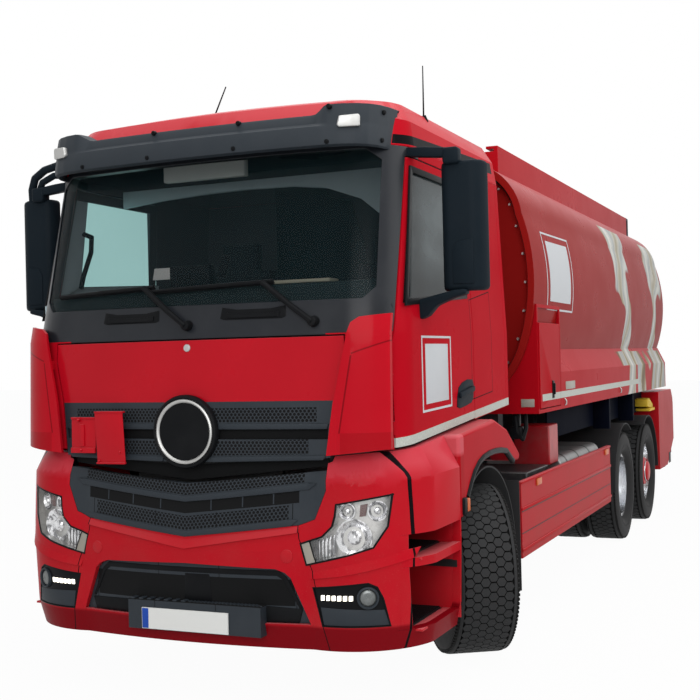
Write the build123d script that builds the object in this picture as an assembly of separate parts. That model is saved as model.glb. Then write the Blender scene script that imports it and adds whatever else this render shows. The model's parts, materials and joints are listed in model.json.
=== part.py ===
"""Three-axle tank truck: cab, chassis, tank, lockers and wheels. Millimetres, +Z up.

X points to the vehicle's left, Y to its rear and Z up. Distances along the vehicle are counted from its
nose while it is modelled; store() then moves each piece so that the origin lies on the ground under the
middle of the whole vehicle.
"""
import math
import os

from build123d import *

# ---- chassis and wheels
FRONT_OVERHANG = 1440       # nose to front axle
WHEELBASE = 4500            # front axle to drive axle
TANDEM_GAP = 1350           # drive axle to tag axle
REAR_OVERHANG = 1850        # tag axle to rear face
BODY_HALF = 1245            # half of the body's width
FRONT_TYRE_R = 498
FRONT_TYRE_W = 385
REAR_TYRE_R = 507
REAR_TYRE_W = 315
TYRE_SIDES = 30             # flats round a tyre
RIM_SEAT_R = 286            # 22.5 inch bead seat
RIM_FLANGE_R = 298
RIM_WALL = 16
RIM_INSET = 60              # bead seat's end behind the side wall
RIM_LIP = 14
TWIN_GAP = 35               # between the side walls of two twin tyres
FRONT_TYRE_PROUD = 27.5     # outer side wall of a front tyre outside the body's side
REAR_TYRE_INSET = 10        # outer side wall of a rear tyre behind the body's side
HUB_BORE_FIT = 0.05         # running fit of hubs and king pins
SPINDLE_R = 48
KINGPIN_OFFSET = 80         # front wheel's middle outside its king pin
KINGPIN_R = 24
BRAKE_R = 205
STEER_REST = 33             # both front wheels stand turned to the left
RAIL_TOP = 1000
RAIL_DEPTH = 250
RAIL_HALF = 425             # outside of the frame rails
RAIL_FLANGE = 75
RAIL_WEB = 10
RAIL_FRONT = 420
MOVING_GAP = 8              # seam round doors, flaps and lids
PART_GAP = 1                # between bolted neighbours

# ---- cab
CAB_BACK = 2220
CAB_HALF = BODY_HALF - 95
CAB_WALL = 60
GLASS = 8
FLAP_DEPTH = 34
CAB_BASE = 1120
BELT_Z = 1905
BELT_NOSE = 95              # foremost point of the cab at the belt line
SCREEN_LOW = 2078
SCREEN_HIGH = 2868
HEADER_Z = 2890
ROOF_EDGE_Z = 3040
ROOF_TOP = 3190
ROOF_SKIN = 60
DOOR_FRONT = 262
DOOR_REAR = 1475
DOOR_TOP = 2840
FLOOR_Z = 1340
FLOOR_SKIN = 40
HINGE_PIN_R = 7
DOOR_HINGE = (CAB_HALF - 54, DOOR_FRONT + 2)
DOOR_HINGE_BANDS = [(1380, 1450), (1620, 1690)]
FLAP_HINGE = (BELT_NOSE + 8, BELT_Z - 28)

# ---- bumper and front
BUMPER_LOW = 300
BUMPER_REAR = 862
BUMPER_TOP = 1340
BUMPER_SHOULDER = 1165
BUMPER_WALL = 45
INSERT_SEAM = 2
PLATE_W = 520
PLATE_H = 110
PLATE_Z = 427
PLATE_T = 8

# ---- stations that follow from them
LENGTH = FRONT_OVERHANG + WHEELBASE + TANDEM_GAP + REAR_OVERHANG
FRONT_AXLE_Y = FRONT_OVERHANG
DRIVE_AXLE_Y = FRONT_AXLE_Y + WHEELBASE
TAG_AXLE_Y = DRIVE_AXLE_Y + TANDEM_GAP
FRONT_WHEEL_X = BODY_HALF + FRONT_TYRE_PROUD - FRONT_TYRE_W / 2
KINGPIN_X = FRONT_WHEEL_X - KINGPIN_OFFSET
REAR_WHEEL_X = BODY_HALF - REAR_TYRE_INSET - REAR_TYRE_W / 2
TWIN_STEP = REAR_TYRE_W + TWIN_GAP
RAIL_LOW = RAIL_TOP - RAIL_DEPTH
RAIL_INNER = RAIL_HALF - RAIL_FLANGE

# ---- tank and lockers
TANK_FRONT = CAB_BACK + 380
TANK_REAR = TAG_AXLE_Y + 1310
TANK_TOP = 3165
TANK_MID = 2290
TANK_BOTTOM = 1345
TANK_RECESS = 90
TANK_RIM = 45
COAMING_X = 850
COAMING_TOP = 3332
COAMING_LOW = 3050
COAMING_T = 30
COAMING_LIP = 90
COAMING_FRONT = TANK_FRONT + 560
COAMING_REAR = TANK_REAR - 60
MANLID_R = 255
MANLID_STATIONS = (TANK_FRONT + 1350, (TANK_FRONT + TANK_REAR) / 2 + 250, TANK_REAR - 900)
LOCKER_FRONT = TANK_FRONT + 45
LOCKER_BACK = LOCKER_FRONT + 690
LOCKER_TOP = 2119
LOCKER_WALL = 25
LOCKER_X = (BODY_HALF - 365, BODY_HALF)
TRUNK_BACK = TANK_REAR - 17
TRUNK_LOW = 1359
TRUNK_SHOULDER = 1635
TRUNK_TOP = 1773
SKIRT_FRONT = 2123
SKIRT_BACK = DRIVE_AXLE_Y - 806
SKIRT_LOW = 450
SKIRT_TOP = 946
SKIRT_T = 30
BATTERY_Y = (CAB_BACK + 420, CAB_BACK + 1020)
ENGINE_FRONT = 560
ENGINE_BACK = CAB_BACK - 70
CABINET_FRONT = TAG_AXLE_Y + 720
CABINET_BACK = LENGTH
CABINET_LOW = 450
CABINET_TOP = 1315
CABINET_WALL = 30
REAR_DOOR_T = 24
REAR_DOOR_LOW = 715
REAR_DOOR_TOP = 1160

nodes = {}


def store(name, shape):
    """Keep a finished piece under its node name."""
    nodes[name] = shape


def pair(shape):
    """A piece on the left and its mirror image on the right."""
    return shape + mirror(shape, about=Plane.YZ)


def pair_y(station, shape):
    """Two mirrored copies ahead of and behind a station along the vehicle."""
    return Pos(0, station, 0) * (shape + mirror(shape, about=Plane.XZ))


def block(x, y, z):
    """Box between two X, two Y and two Z values."""
    size = (x[1] - x[0], y[1] - y[0], z[1] - z[0])
    return Pos((x[0] + x[1]) / 2, (y[0] + y[1]) / 2, (z[0] + z[1]) / 2) * Box(*size)


def along_x(outline, x):
    """Prism with a (y, z) outline between two X values."""
    wire = Polyline(*[(x[0], y, z) for y, z in outline], close=True)
    return extrude(make_face(wire), amount=x[1] - x[0], dir=(1, 0, 0))


def along_y(outline, y, seam=0.0):
    """Prism with an (x, z) outline between two Y values, drawn in all round by a seam."""
    face = make_face(Polyline(*[(x, y[0], z) for x, z in outline], close=True))
    if seam:
        face = offset(face, amount=-seam, kind=Kind.INTERSECTION)
    return extrude(face, amount=y[1] - y[0], dir=(0, 1, 0))


def along_z(outline, z):
    """Prism with an (x, y) outline between two Z values."""
    wire = Polyline(*[(x, y, z[0]) for x, y in outline], close=True)
    return extrude(make_face(wire), amount=z[1] - z[0], dir=(0, 0, 1))


def rod(start, end, radius):
    """Round bar between two points."""
    start = Vector(*start)
    end = Vector(*end)
    return Part() + Solid.make_cylinder(radius, (end - start).length, Plane(origin=start, z_dir=end - start))


def turned(profile, x_shift=0.0):
    """Ring about the X axis from an (x, radius) profile."""
    wire = Polyline(*[(x + x_shift, r, 0) for x, r in profile], close=True)
    return revolve(make_face(wire), axis=Axis.X)


def mirrored_outline(half):
    """Close a half outline, listed top to bottom for positive x, with its mirror image."""
    return half + [(-x, z) for x, z in reversed(half) if x != 0]


# ---- plan sections of cab and bumper: lines along the sides, arcs round the corners and across the nose

def plan_face(z, half, nose, bow_x, bow_back, side_back, rear, inset=0.0):
    """Horizontal section with a bowed front and round front corners."""
    half = half - inset
    side = (half, nose + side_back + inset * 0.3, z)
    bow = (bow_x - inset * 0.3, nose + bow_back + inset, z)
    tip = (0, nose + inset, z)
    sharp = (half, bow[1])
    chord = ((side[0] + bow[0]) / 2, (side[1] + bow[1]) / 2)
    round_mid = (sharp[0] + 0.586 * (chord[0] - sharp[0]), sharp[1] + 0.586 * (chord[1] - sharp[1]), z)
    back = (half, rear, z)

    def left(point):
        return (-point[0], point[1], point[2])

    edges = [
        Line(left(back), back),
        Line(back, side),
        ThreePointArc(side, round_mid, bow),
        ThreePointArc(bow, tip, left(bow)),
        ThreePointArc(left(bow), left(round_mid), left(side)),
        Line(left(side), left(back)),
    ]
    return make_face(edges)


# height, half width, nose, end of the bow, its setback, setback of the straight side
CAB_SECTIONS = [
    (CAB_BASE, CAB_HALF, 62, CAB_HALF - 310, 58, 360),
    (BELT_Z, CAB_HALF, BELT_NOSE, CAB_HALF - 300, 58, 350),
    (HEADER_Z, CAB_HALF - 45, 308, CAB_HALF - 350, 60, 340),
    (ROOF_EDGE_Z, CAB_HALF - 70, 335, CAB_HALF - 370, 60, 330),
    (ROOF_TOP - 40, CAB_HALF - 140, 420, CAB_HALF - 430, 60, 320),
    (ROOF_TOP, CAB_HALF - 250, 560, CAB_HALF - 510, 55, 300),
]


def cab_body(inset=0.0, rear_inset=0.0, drop=0.0):
    """Cab's outer form, or an inner one that is set in; drop lowers the roof rows."""
    faces = []
    for z, half, nose, bow_x, bow_back, side_back in CAB_SECTIONS:
        height = z - drop if z >= ROOF_EDGE_Z else z
        faces.append(plan_face(height, half, nose, bow_x, bow_back, side_back, CAB_BACK - rear_inset, inset))
    return loft(faces, ruled=True)


BUMPER_SECTIONS = [
    (BUMPER_LOW, BODY_HALF - 40, 70, BODY_HALF - 555, 55, 400),
    (430, BODY_HALF - 10, 34, BODY_HALF - 555, 58, 420),
    (800, BODY_HALF, 18, BODY_HALF - 555, 60, 420),
    (BUMPER_SHOULDER, BODY_HALF - 2, 52, BODY_HALF - 525, 61, 410),
    (BUMPER_TOP, BODY_HALF - 92, 128, BODY_HALF - 505, 62, 350),
]


def bumper_body(inset=0.0):
    """Bumper's outer form down to the wheel arch."""
    faces = [plan_face(*row, BUMPER_REAR, inset) for row in BUMPER_SECTIONS]
    return loft(faces, ruled=True)


# ---- wheels

def flat_sided(x, radius):
    """Regular polygon across the X axis whose flats lie at a radius."""
    plane = Plane(origin=(x, 0, 0), x_dir=(0, 0, 1), z_dir=(1, 0, 0))
    return plane * RegularPolygon(radius, TYRE_SIDES, major_radius=False, rotation=180 / TYRE_SIDES)


def tyre_ring(radius, width):
    """Tyre as one closed ring about the X axis, its middle at x = 0, with a flat at its lowest point."""
    half = width / 2
    bead = half - RIM_INSET - 0.5
    # place across the tyre, radius
    tread_side = [(half, radius - 95), (half - 8, radius - 28), (half - 32, radius)]
    outer = [(-x, r) for x, r in tread_side] + [(x, r) for x, r in reversed(tread_side)]
    ring = loft([flat_sided(x, r) for x, r in outer], ruled=True)
    dish = loft([flat_sided(bead, RIM_FLANGE_R + 1), flat_sided(half + 1, radius - 108)], ruled=True)
    bore = extrude(flat_sided(-half, RIM_SEAT_R + 0.3), amount=width, dir=(1, 0, 0))
    return ring - bore - dish - mirror(dish, about=Plane.YZ)


def rim_ring(width):
    """Rim barrel with its two flanges, its middle at x = 0."""
    half = width / 2 - RIM_INSET
    outer = [
        (half + RIM_LIP, RIM_FLANGE_R),
        (half, RIM_FLANGE_R),
        (half, RIM_SEAT_R),
        (-half, RIM_SEAT_R),
        (-half, RIM_FLANGE_R),
        (-half - RIM_LIP, RIM_FLANGE_R),
    ]
    inner = [(-half - RIM_LIP, RIM_SEAT_R - RIM_WALL), (half + RIM_LIP, RIM_SEAT_R - RIM_WALL)]
    return turned(outer + inner)


def wheel_disc(face_x, rim_x, hub_r=140, thickness=14):
    """Dished disc from the hub face out to the rim, with ten hand holes."""
    edge = RIM_SEAT_R - RIM_WALL
    profile = [
        (face_x, SPINDLE_R + HUB_BORE_FIT),
        (face_x + thickness, SPINDLE_R + HUB_BORE_FIT),
        (face_x + thickness, hub_r + 40),
        (rim_x + thickness, edge),
        (rim_x, edge),
        (face_x, hub_r + 40),
    ]
    disc = turned(profile)
    hole_r = (hub_r + 40 + edge) / 2
    hole = Rot(0, 90, 0) * Cylinder(26, 600)
    for step in range(10):
        turn = math.radians(36 * step + 18)
        disc -= Pos((face_x + rim_x) / 2, hole_r * math.cos(turn), hole_r * math.sin(turn)) * hole
    return disc


def hub(inner_x, outer_x, radius, cap_x, cap_r):
    """Bored hub with its closed cap."""
    bore = SPINDLE_R + HUB_BORE_FIT
    profile = [
        (inner_x, bore),
        (outer_x, bore),
        (outer_x, 0),
        (cap_x, 0),
        (cap_x, cap_r * 0.8),
        (cap_x - 18, cap_r),
        (outer_x - 40, cap_r),
        (outer_x - 46, radius),
        (inner_x, radius),
    ]
    return turned(profile)


def place_wheel(shape, x, y, radius, side):
    """Put a left-hand wheel piece on its axle, or its mirror image on the other side."""
    placed = Pos(x, y, radius) * shape
    return placed if side > 0 else mirror(placed, about=Plane.YZ)


def steer(shape, side):
    """Turn a piece about the king pin to its rest angle."""
    pin = side * KINGPIN_X
    return Pos(pin, FRONT_AXLE_Y, 0) * (Rot(0, 0, STEER_REST) * (Pos(-pin, -FRONT_AXLE_Y, 0) * shape))


SIDES = {"left": 1, "right": -1}
# ends of the hubs, counted outwards from the middle of the (outer) tyre
FRONT_HUB_OUT = 110
DRIVE_HUB_IN = -240
DRIVE_HUB_OUT = -120
TAG_HUB_IN = -30
TAG_HUB_OUT = 80
front_tyre = tyre_ring(FRONT_TYRE_R, FRONT_TYRE_W)
front_rim = rim_ring(FRONT_TYRE_W)
front_rim += wheel_disc(92, 70)
front_rim += hub(20, FRONT_HUB_OUT, 140, 175, 110)
rear_tyre = tyre_ring(REAR_TYRE_R, REAR_TYRE_W)
twin_tyres = rear_tyre + Pos(-TWIN_STEP, 0, 0) * rear_tyre
outer_rim = rim_ring(REAR_TYRE_W)
twin_rims = outer_rim + Pos(-TWIN_STEP, 0, 0) * outer_rim
twin_rims += wheel_disc(-150, -60)
twin_rims += wheel_disc(-164, -254)
twin_rims += hub(DRIVE_HUB_IN, DRIVE_HUB_OUT, 150, 40, 95)
tag_rim = outer_rim + wheel_disc(60, 40)
tag_rim += hub(TAG_HUB_IN, TAG_HUB_OUT, 145, 150, 105)

for side_name, side in SIDES.items():
    tyre = place_wheel(front_tyre, FRONT_WHEEL_X, FRONT_AXLE_Y, FRONT_TYRE_R, side)
    store("tyre_front_" + side_name, steer(tyre, side))
    rim = place_wheel(front_rim, FRONT_WHEEL_X, FRONT_AXLE_Y, FRONT_TYRE_R, side)
    store("rim_front_" + side_name, steer(rim, side))
    # node, piece, axle station
    rear_wheels = [
        ("tyres_drive_", twin_tyres, DRIVE_AXLE_Y),
        ("rims_drive_", twin_rims, DRIVE_AXLE_Y),
        ("tyre_tag_", rear_tyre, TAG_AXLE_Y),
        ("rim_tag_", tag_rim, TAG_AXLE_Y),
    ]
    for node, piece, axle_y in rear_wheels:
        store(node + side_name, place_wheel(piece, REAR_WHEEL_X, axle_y, REAR_TYRE_R, side))

# ---- steering knuckles and front axle
BOSS_R = 42
BOSS_HALF = 75
LUG_R = 48
LUG_GAP = 6
LUG_H = 34
YOKE_X = (KINGPIN_X + 56, KINGPIN_X + 84)
YOKE_HALF = 60
ARM_BACK = 210
SHIELD_T = 10
BEAM_HALF = 40              # half of the axle beam's width along the vehicle
lug_z = BOSS_HALF + LUG_GAP + LUG_H / 2
yoke_height = lug_z + LUG_H / 2
axle_point = Pos(KINGPIN_X, FRONT_AXLE_Y, FRONT_TYRE_R)
knuckle = axle_point * Cylinder(KINGPIN_R, 2 * yoke_height)
for sign in (-1, 1):
    lug_span = (FRONT_TYRE_R + sign * lug_z - LUG_H / 2, FRONT_TYRE_R + sign * lug_z + LUG_H / 2)
    knuckle += Pos(0, 0, sign * lug_z) * (axle_point * Cylinder(LUG_R, LUG_H))
    knuckle += block((KINGPIN_X, YOKE_X[1]), (FRONT_AXLE_Y - LUG_R, FRONT_AXLE_Y + LUG_R), lug_span)
knuckle += block(YOKE_X, (FRONT_AXLE_Y - YOKE_HALF, FRONT_AXLE_Y + YOKE_HALF),
                 (FRONT_TYRE_R - yoke_height, FRONT_TYRE_R + yoke_height))
spindle_end = (FRONT_WHEEL_X + FRONT_HUB_OUT - 5, FRONT_AXLE_Y, FRONT_TYRE_R)
knuckle += rod((YOKE_X[0] + 10, FRONT_AXLE_Y, FRONT_TYRE_R), spindle_end, SPINDLE_R)
shield = (YOKE_X[1], FRONT_AXLE_Y, FRONT_TYRE_R)
knuckle += rod(shield, (shield[0] + SHIELD_T, shield[1], shield[2]), BRAKE_R)
knuckle += block((KINGPIN_X - 30, KINGPIN_X + 30), (FRONT_AXLE_Y + 30, FRONT_AXLE_Y + ARM_BACK),
                 (FRONT_TYRE_R - yoke_height, FRONT_TYRE_R - yoke_height + LUG_H))
for side_name, side in SIDES.items():
    piece = knuckle if side > 0 else mirror(knuckle, about=Plane.YZ)
    store("knuckle_" + side_name, steer(piece, side))

beam_low = FRONT_TYRE_R - 135
beam_high = FRONT_TYRE_R - 15
beam_outline = [(0, beam_low), (KINGPIN_X - 320, beam_low), (KINGPIN_X - 180, FRONT_TYRE_R - 60),
                (KINGPIN_X, FRONT_TYRE_R - 60), (KINGPIN_X, FRONT_TYRE_R + 60),
                (KINGPIN_X - 220, FRONT_TYRE_R + 60), (KINGPIN_X - 340, beam_high), (0, beam_high)]
beam = along_y(beam_outline, (FRONT_AXLE_Y - BEAM_HALF, FRONT_AXLE_Y + BEAM_HALF))
beam += axle_point * Cylinder(BOSS_R, 2 * BOSS_HALF)
beam -= axle_point * Cylinder(KINGPIN_R + HUB_BORE_FIT, 4 * BOSS_HALF)
SPRING_X = (RAIL_INNER, RAIL_HALF + 5)
SPRING_HALF = 620
eye_z = RAIL_LOW - 30
spring_outline = [
    (-SPRING_HALF, eye_z - 35), (20 - SPRING_HALF, eye_z), (-120, FRONT_TYRE_R + 35), (120, FRONT_TYRE_R + 35),
    (SPRING_HALF - 20, eye_z), (SPRING_HALF, eye_z - 35), (130, beam_high - 5), (-130, beam_high - 5),
]
spring = along_x([(FRONT_AXLE_Y + y, z) for y, z in spring_outline], SPRING_X)
store("front_axle", beam + mirror(beam, about=Plane.YZ) + pair(spring))

# ---- rear axles with their air springs, and the drive shaft
AXLE_TUBE_R = 75
AXLE_HOUSING_R = 190
BELLOWS_R = 75
BELLOWS_SHIFT = 330
SHAFT_R = 55
SPRING_ARM_X = (RAIL_INNER - 10, RAIL_INNER + 90)
drive_hub_x = REAR_WHEEL_X + DRIVE_HUB_IN
tag_hub_x = REAR_WHEEL_X + TAG_HUB_IN
rear_axles = Pos(0, DRIVE_AXLE_Y, REAR_TYRE_R) * Sphere(AXLE_HOUSING_R)
rear_axles += rod((0, DRIVE_AXLE_Y - 180, REAR_TYRE_R + 20), (0, ENGINE_BACK + 750, RAIL_LOW + 70), SHAFT_R)
# axle station, inner end of the hub, end of the spindle
AXLES = [
    (DRIVE_AXLE_Y, drive_hub_x, REAR_WHEEL_X + DRIVE_HUB_OUT - 5),
    (TAG_AXLE_Y, tag_hub_x, REAR_WHEEL_X + TAG_HUB_OUT - 5),
]
for axle_y, hub_x, tip_x in AXLES:
    rear_axles += pair(rod((0, axle_y, REAR_TYRE_R), (hub_x - 8, axle_y, REAR_TYRE_R), AXLE_TUBE_R))
    rear_axles += pair(rod((hub_x - 9, axle_y, REAR_TYRE_R), (tip_x, axle_y, REAR_TYRE_R), SPINDLE_R))
    rear_axles += pair(block(SPRING_ARM_X, (axle_y - 410, axle_y + 410), (REAR_TYRE_R - 110, REAR_TYRE_R - 50)))
    for shift in (-BELLOWS_SHIFT, BELLOWS_SHIFT):
        foot = (RAIL_INNER + 40, axle_y + shift, REAR_TYRE_R - 60)
        rear_axles += pair(rod(foot, (foot[0], foot[1], RAIL_LOW), BELLOWS_R))
store("rear_axles", rear_axles)

# ---- frame rails and cross members
rail_back = CABINET_FRONT - 20
rail = block((RAIL_INNER, RAIL_HALF), (RAIL_FRONT, rail_back), (RAIL_LOW, RAIL_TOP))
rail -= block((RAIL_INNER - 1, RAIL_HALF - RAIL_WEB), (RAIL_FRONT - 1, rail_back + 1),
              (RAIL_LOW + RAIL_WEB, RAIL_TOP - RAIL_WEB))
frame = pair(rail)
CROSS_HALF = 35
CROSS_STATIONS = (RAIL_FRONT + 40, CAB_BACK + 130, TANK_FRONT + 1000, DRIVE_AXLE_Y - 1140, DRIVE_AXLE_Y - 500,
                  DRIVE_AXLE_Y + TANDEM_GAP / 2, TAG_AXLE_Y + 500, rail_back - 50)
for station in CROSS_STATIONS:
    frame += block((RAIL_WEB - RAIL_HALF, RAIL_HALF - RAIL_WEB), (station - CROSS_HALF, station + CROSS_HALF),
                   (RAIL_LOW + 90, RAIL_TOP - 30))
store("frame_rails", frame)

ENGINE_HALF = RAIL_INNER - 20
engine = block((-ENGINE_HALF, ENGINE_HALF), (ENGINE_FRONT, ENGINE_BACK), (RAIL_LOW - 110, RAIL_LOW + 60))
engine += block((-ENGINE_HALF, ENGINE_HALF), (ENGINE_FRONT, ENGINE_BACK), (RAIL_LOW + 30, CAB_BASE + 210))
store("engine", engine)
RADIATOR_Y = (250, 335)
radiator = block((-RAIL_HALF, RAIL_HALF), RADIATOR_Y, (BUMPER_LOW + 230, CAB_BASE + 165))
stay = block((RAIL_INNER, RAIL_HALF), (RADIATOR_Y[1], RAIL_FRONT - PART_GAP), (RAIL_LOW, RAIL_LOW + 120))
radiator += pair(stay)
store("radiator", radiator)

# ---- cab shell
SIDE_REACH = (CAB_HALF - 450, CAB_HALF + 150)
OVER_WIDTH = (-CAB_HALF - 250, CAB_HALF + 250)
NOSE_REACH = (-100, 700)
outer = cab_body()
inner = cab_body(CAB_WALL, CAB_WALL, ROOF_SKIN)
flap_inner = cab_body(FLAP_DEPTH)
cab_ring = outer - inner


def sill_z(y):
    """Height of the lower edge of the doors and the rear quarter."""
    return 1308 + 0.068 * (y - DOOR_FRONT)


def opening_prism(outline, gap=0.0):
    """Prism through the left cab wall, shrunk all round by a gap."""
    face = make_face(Polyline(*[(SIDE_REACH[0], y, z) for y, z in outline], close=True))
    if gap:
        face = offset(face, amount=-gap, kind=Kind.INTERSECTION)
    return extrude(face, amount=SIDE_REACH[1] - SIDE_REACH[0], dir=(1, 0, 0))


door_opening = [
    (DOOR_FRONT, sill_z(DOOR_FRONT)),
    (DOOR_REAR, sill_z(DOOR_REAR)),
    (DOOR_REAR, DOOR_TOP),
    (DOOR_FRONT + 285, DOOR_TOP),
    (DOOR_FRONT + 60, SCREEN_LOW - 40),
    (DOOR_FRONT, BELT_Z - 60),
]
window = [
    (DOOR_FRONT + 110, 2052),
    (DOOR_REAR - 90, 2125),
    (DOOR_REAR - 90, DOOR_TOP - 65),
    (DOOR_FRONT + 310, DOOR_TOP - 65),
]
GLASS_INSET = 14
door_hole = opening_prism(door_opening)
door_solid = (cab_ring & opening_prism(door_opening, MOVING_GAP)) - opening_prism(window)
hinge_notches = []
for low, top in DOOR_HINGE_BANDS:
    door_solid += rod((*DOOR_HINGE, low), (*DOOR_HINGE, top), HINGE_PIN_R)
    hinge_notches.append(rod((*DOOR_HINGE, low - 3), (*DOOR_HINGE, top + 3), HINGE_PIN_R + 3))
glass_ring = cab_body(GLASS_INSET) - cab_body(GLASS_INSET + GLASS)
door_glass = glass_ring & opening_prism(window, 0.5)
for side_name, side in SIDES.items():
    store("door_" + side_name, door_solid if side > 0 else mirror(door_solid, about=Plane.YZ))
    store("door_glass_" + side_name, door_glass if side > 0 else mirror(door_glass, about=Plane.YZ))

below_header = block(OVER_WIDTH, (NOSE_REACH[0], CAB_BACK + 380), (CAB_BASE - 10, HEADER_Z))
store("cab_roof", cab_ring - below_header)

# Lower edge of the cab: level across the front, then rising along the sides
under_back = CAB_BACK + 380
under_outline = [(-200, CAB_BASE - 120), (under_back, CAB_BASE - 120), (under_back, sill_z(under_back)),
                 (DOOR_FRONT, sill_z(DOOR_FRONT)), (-200, sill_z(DOOR_FRONT))]
under_cab = along_x(under_outline, OVER_WIDTH)
wall = (cab_ring & below_header) - under_cab - pair(door_hole)
for notch in hinge_notches:
    wall -= pair(notch)
front_zone = block(OVER_WIDTH, NOSE_REACH, (CAB_BASE - 10, HEADER_Z + 10))
rear_zone = block(OVER_WIDTH, (CAB_BACK - CAB_WALL, CAB_BACK + 380), (CAB_BASE - 10, HEADER_Z + 10))
store("cab_rear_wall", wall & rear_zone)
store("cab_side_panels", wall - front_zone - rear_zone)

screen_top = CAB_HALF - 220
screen_low = CAB_HALF - 190
screen_opening = mirrored_outline([
    (0, SCREEN_HIGH), (screen_top, SCREEN_HIGH), (screen_top + 75, SCREEN_HIGH - 60),
    (screen_low + 60, SCREEN_LOW + 60), (screen_low, SCREEN_LOW), (0, SCREEN_LOW)])
screen_prism = along_y(screen_opening, NOSE_REACH)
store("windscreen", (cab_body(6) - cab_body(6 + GLASS)) & screen_prism)

# Front flap: painted panel above, grille below, hinged along the belt line
FLAP_TOP = BELT_Z - 15
FLAP_SHOULDER = BELT_Z - 115
FLAP_WAIST = 1564
FLAP_LOW_Z = 1275
FLAP_TIP_Z = 1236
FLAP_TOP_X = CAB_HALF - 270
FLAP_WAIST_X = CAB_HALF - 315
FLAP_LOW_X = CAB_HALF - 345
FLAP_REACH = (-100, 320)


def flap_outline(grow):
    """Front view of the flap, grown by a seam."""
    return mirrored_outline([(0, FLAP_TOP + grow), (FLAP_TOP_X + grow, FLAP_TOP + grow),
                             (FLAP_TOP_X + 4 + grow, FLAP_SHOULDER), (FLAP_WAIST_X + grow, FLAP_WAIST),
                             (FLAP_LOW_X + grow, FLAP_LOW_Z - grow), (0, FLAP_TIP_Z - grow)])


flap_zone = along_y(flap_outline(MOVING_GAP), FLAP_REACH)
flap = (outer - flap_inner) & along_y(flap_outline(0), FLAP_REACH)
above_waist = block(OVER_WIDTH, NOSE_REACH, (FLAP_WAIST, BELT_Z + 95))
flap_panel = flap & above_waist
flap_panel -= block((-60, 60), (FLAP_HINGE[0] + 1, FLAP_HINGE[0] + 60), (FLAP_HINGE[1] - 15, FLAP_TOP + 5))
flap_panel += rod((-60, *FLAP_HINGE), (60, *FLAP_HINGE), HINGE_PIN_R)
store("flap_panel", flap_panel)

# Grille of the flap: two perforated bands with a recessed slot between them, and a round boss
BAND_SLOTS = [(1425, 1368)]
SLOT_DEPTH = 20
BOSS_Z = 1413
GRILLE_BOSS_R = 188
grille = flap - above_waist
for slot_top, slot_low in BAND_SLOTS:
    slot_outline = [(0, slot_top), (FLAP_WAIST_X - 25, slot_top), (FLAP_WAIST_X - 35, slot_low), (0, slot_low)]
    grille -= (outer - cab_body(SLOT_DEPTH)) & along_y(mirrored_outline(slot_outline), FLAP_REACH)
grille += rod((0, 56, BOSS_Z), (0, 100, BOSS_Z), GRILLE_BOSS_R) - above_waist - flap_inner
store("flap_grille", grille)

front_wall = wall & front_zone
front_wall -= screen_prism
front_wall -= (outer - cab_body(FLAP_DEPTH + MOVING_GAP)) & flap_zone
corner_zone = block((FLAP_LOW_X - 20, OVER_WIDTH[1]), NOSE_REACH, (CAB_BASE, BELT_Z)) & (outer - flap_inner)
corner_panels = front_wall & pair(corner_zone)
store("windscreen_frame", front_wall - corner_panels)

# Wind deflectors that stand off the cab's corners on struts
BLADE_GAP = 37
BLADE_T = 18
BLADE_EDGE = CAB_HALF - 38
blade_outline = [
    (CAB_HALF - 344, 1289), (CAB_HALF - 307, 1555), (CAB_HALF - 230, BELT_Z + 5), (CAB_HALF - 215, 1955),
    (CAB_HALF - 175, 1982), (BLADE_EDGE, 1998), (BLADE_EDGE, 1318),
]
blade = (cab_body(-BLADE_GAP - BLADE_T) - cab_body(-BLADE_GAP)) & along_y(blade_outline, (-100, 300))
strut_shell = cab_body(-BLADE_GAP - 3) - cab_body(5)
for strut_x in (CAB_HALF - 240, CAB_HALF - 110):
    for strut_z in (1420, 1750):
        blade += strut_shell & block((strut_x, strut_x + 35), (40, 330), (strut_z, strut_z + 50))
store("corner_panels", corner_panels + pair(blade))

# Floor with its engine tunnel, between the walls
TUNNEL_HALF = RAIL_HALF + 5
TUNNEL_TOP = 1560
floor_y = (330, CAB_BACK - CAB_WALL)
floor_half = CAB_HALF - CAB_WALL
floor = block((-floor_half, floor_half), floor_y, (FLOOR_Z, FLOOR_Z + FLOOR_SKIN))
floor += block((-TUNNEL_HALF, TUNNEL_HALF), floor_y, (FLOOR_Z, TUNNEL_TOP))
floor -= block((FLOOR_SKIN - TUNNEL_HALF, TUNNEL_HALF - FLOOR_SKIN), (floor_y[0] - 130, CAB_BACK + 180),
               (FLOOR_Z - 1, TUNNEL_TOP - FLOOR_SKIN))
floor = floor & cab_body(CAB_WALL + PART_GAP, CAB_WALL + PART_GAP, ROOF_SKIN)
store("cab_floor", floor - pair(door_hole) - under_cab)

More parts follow.
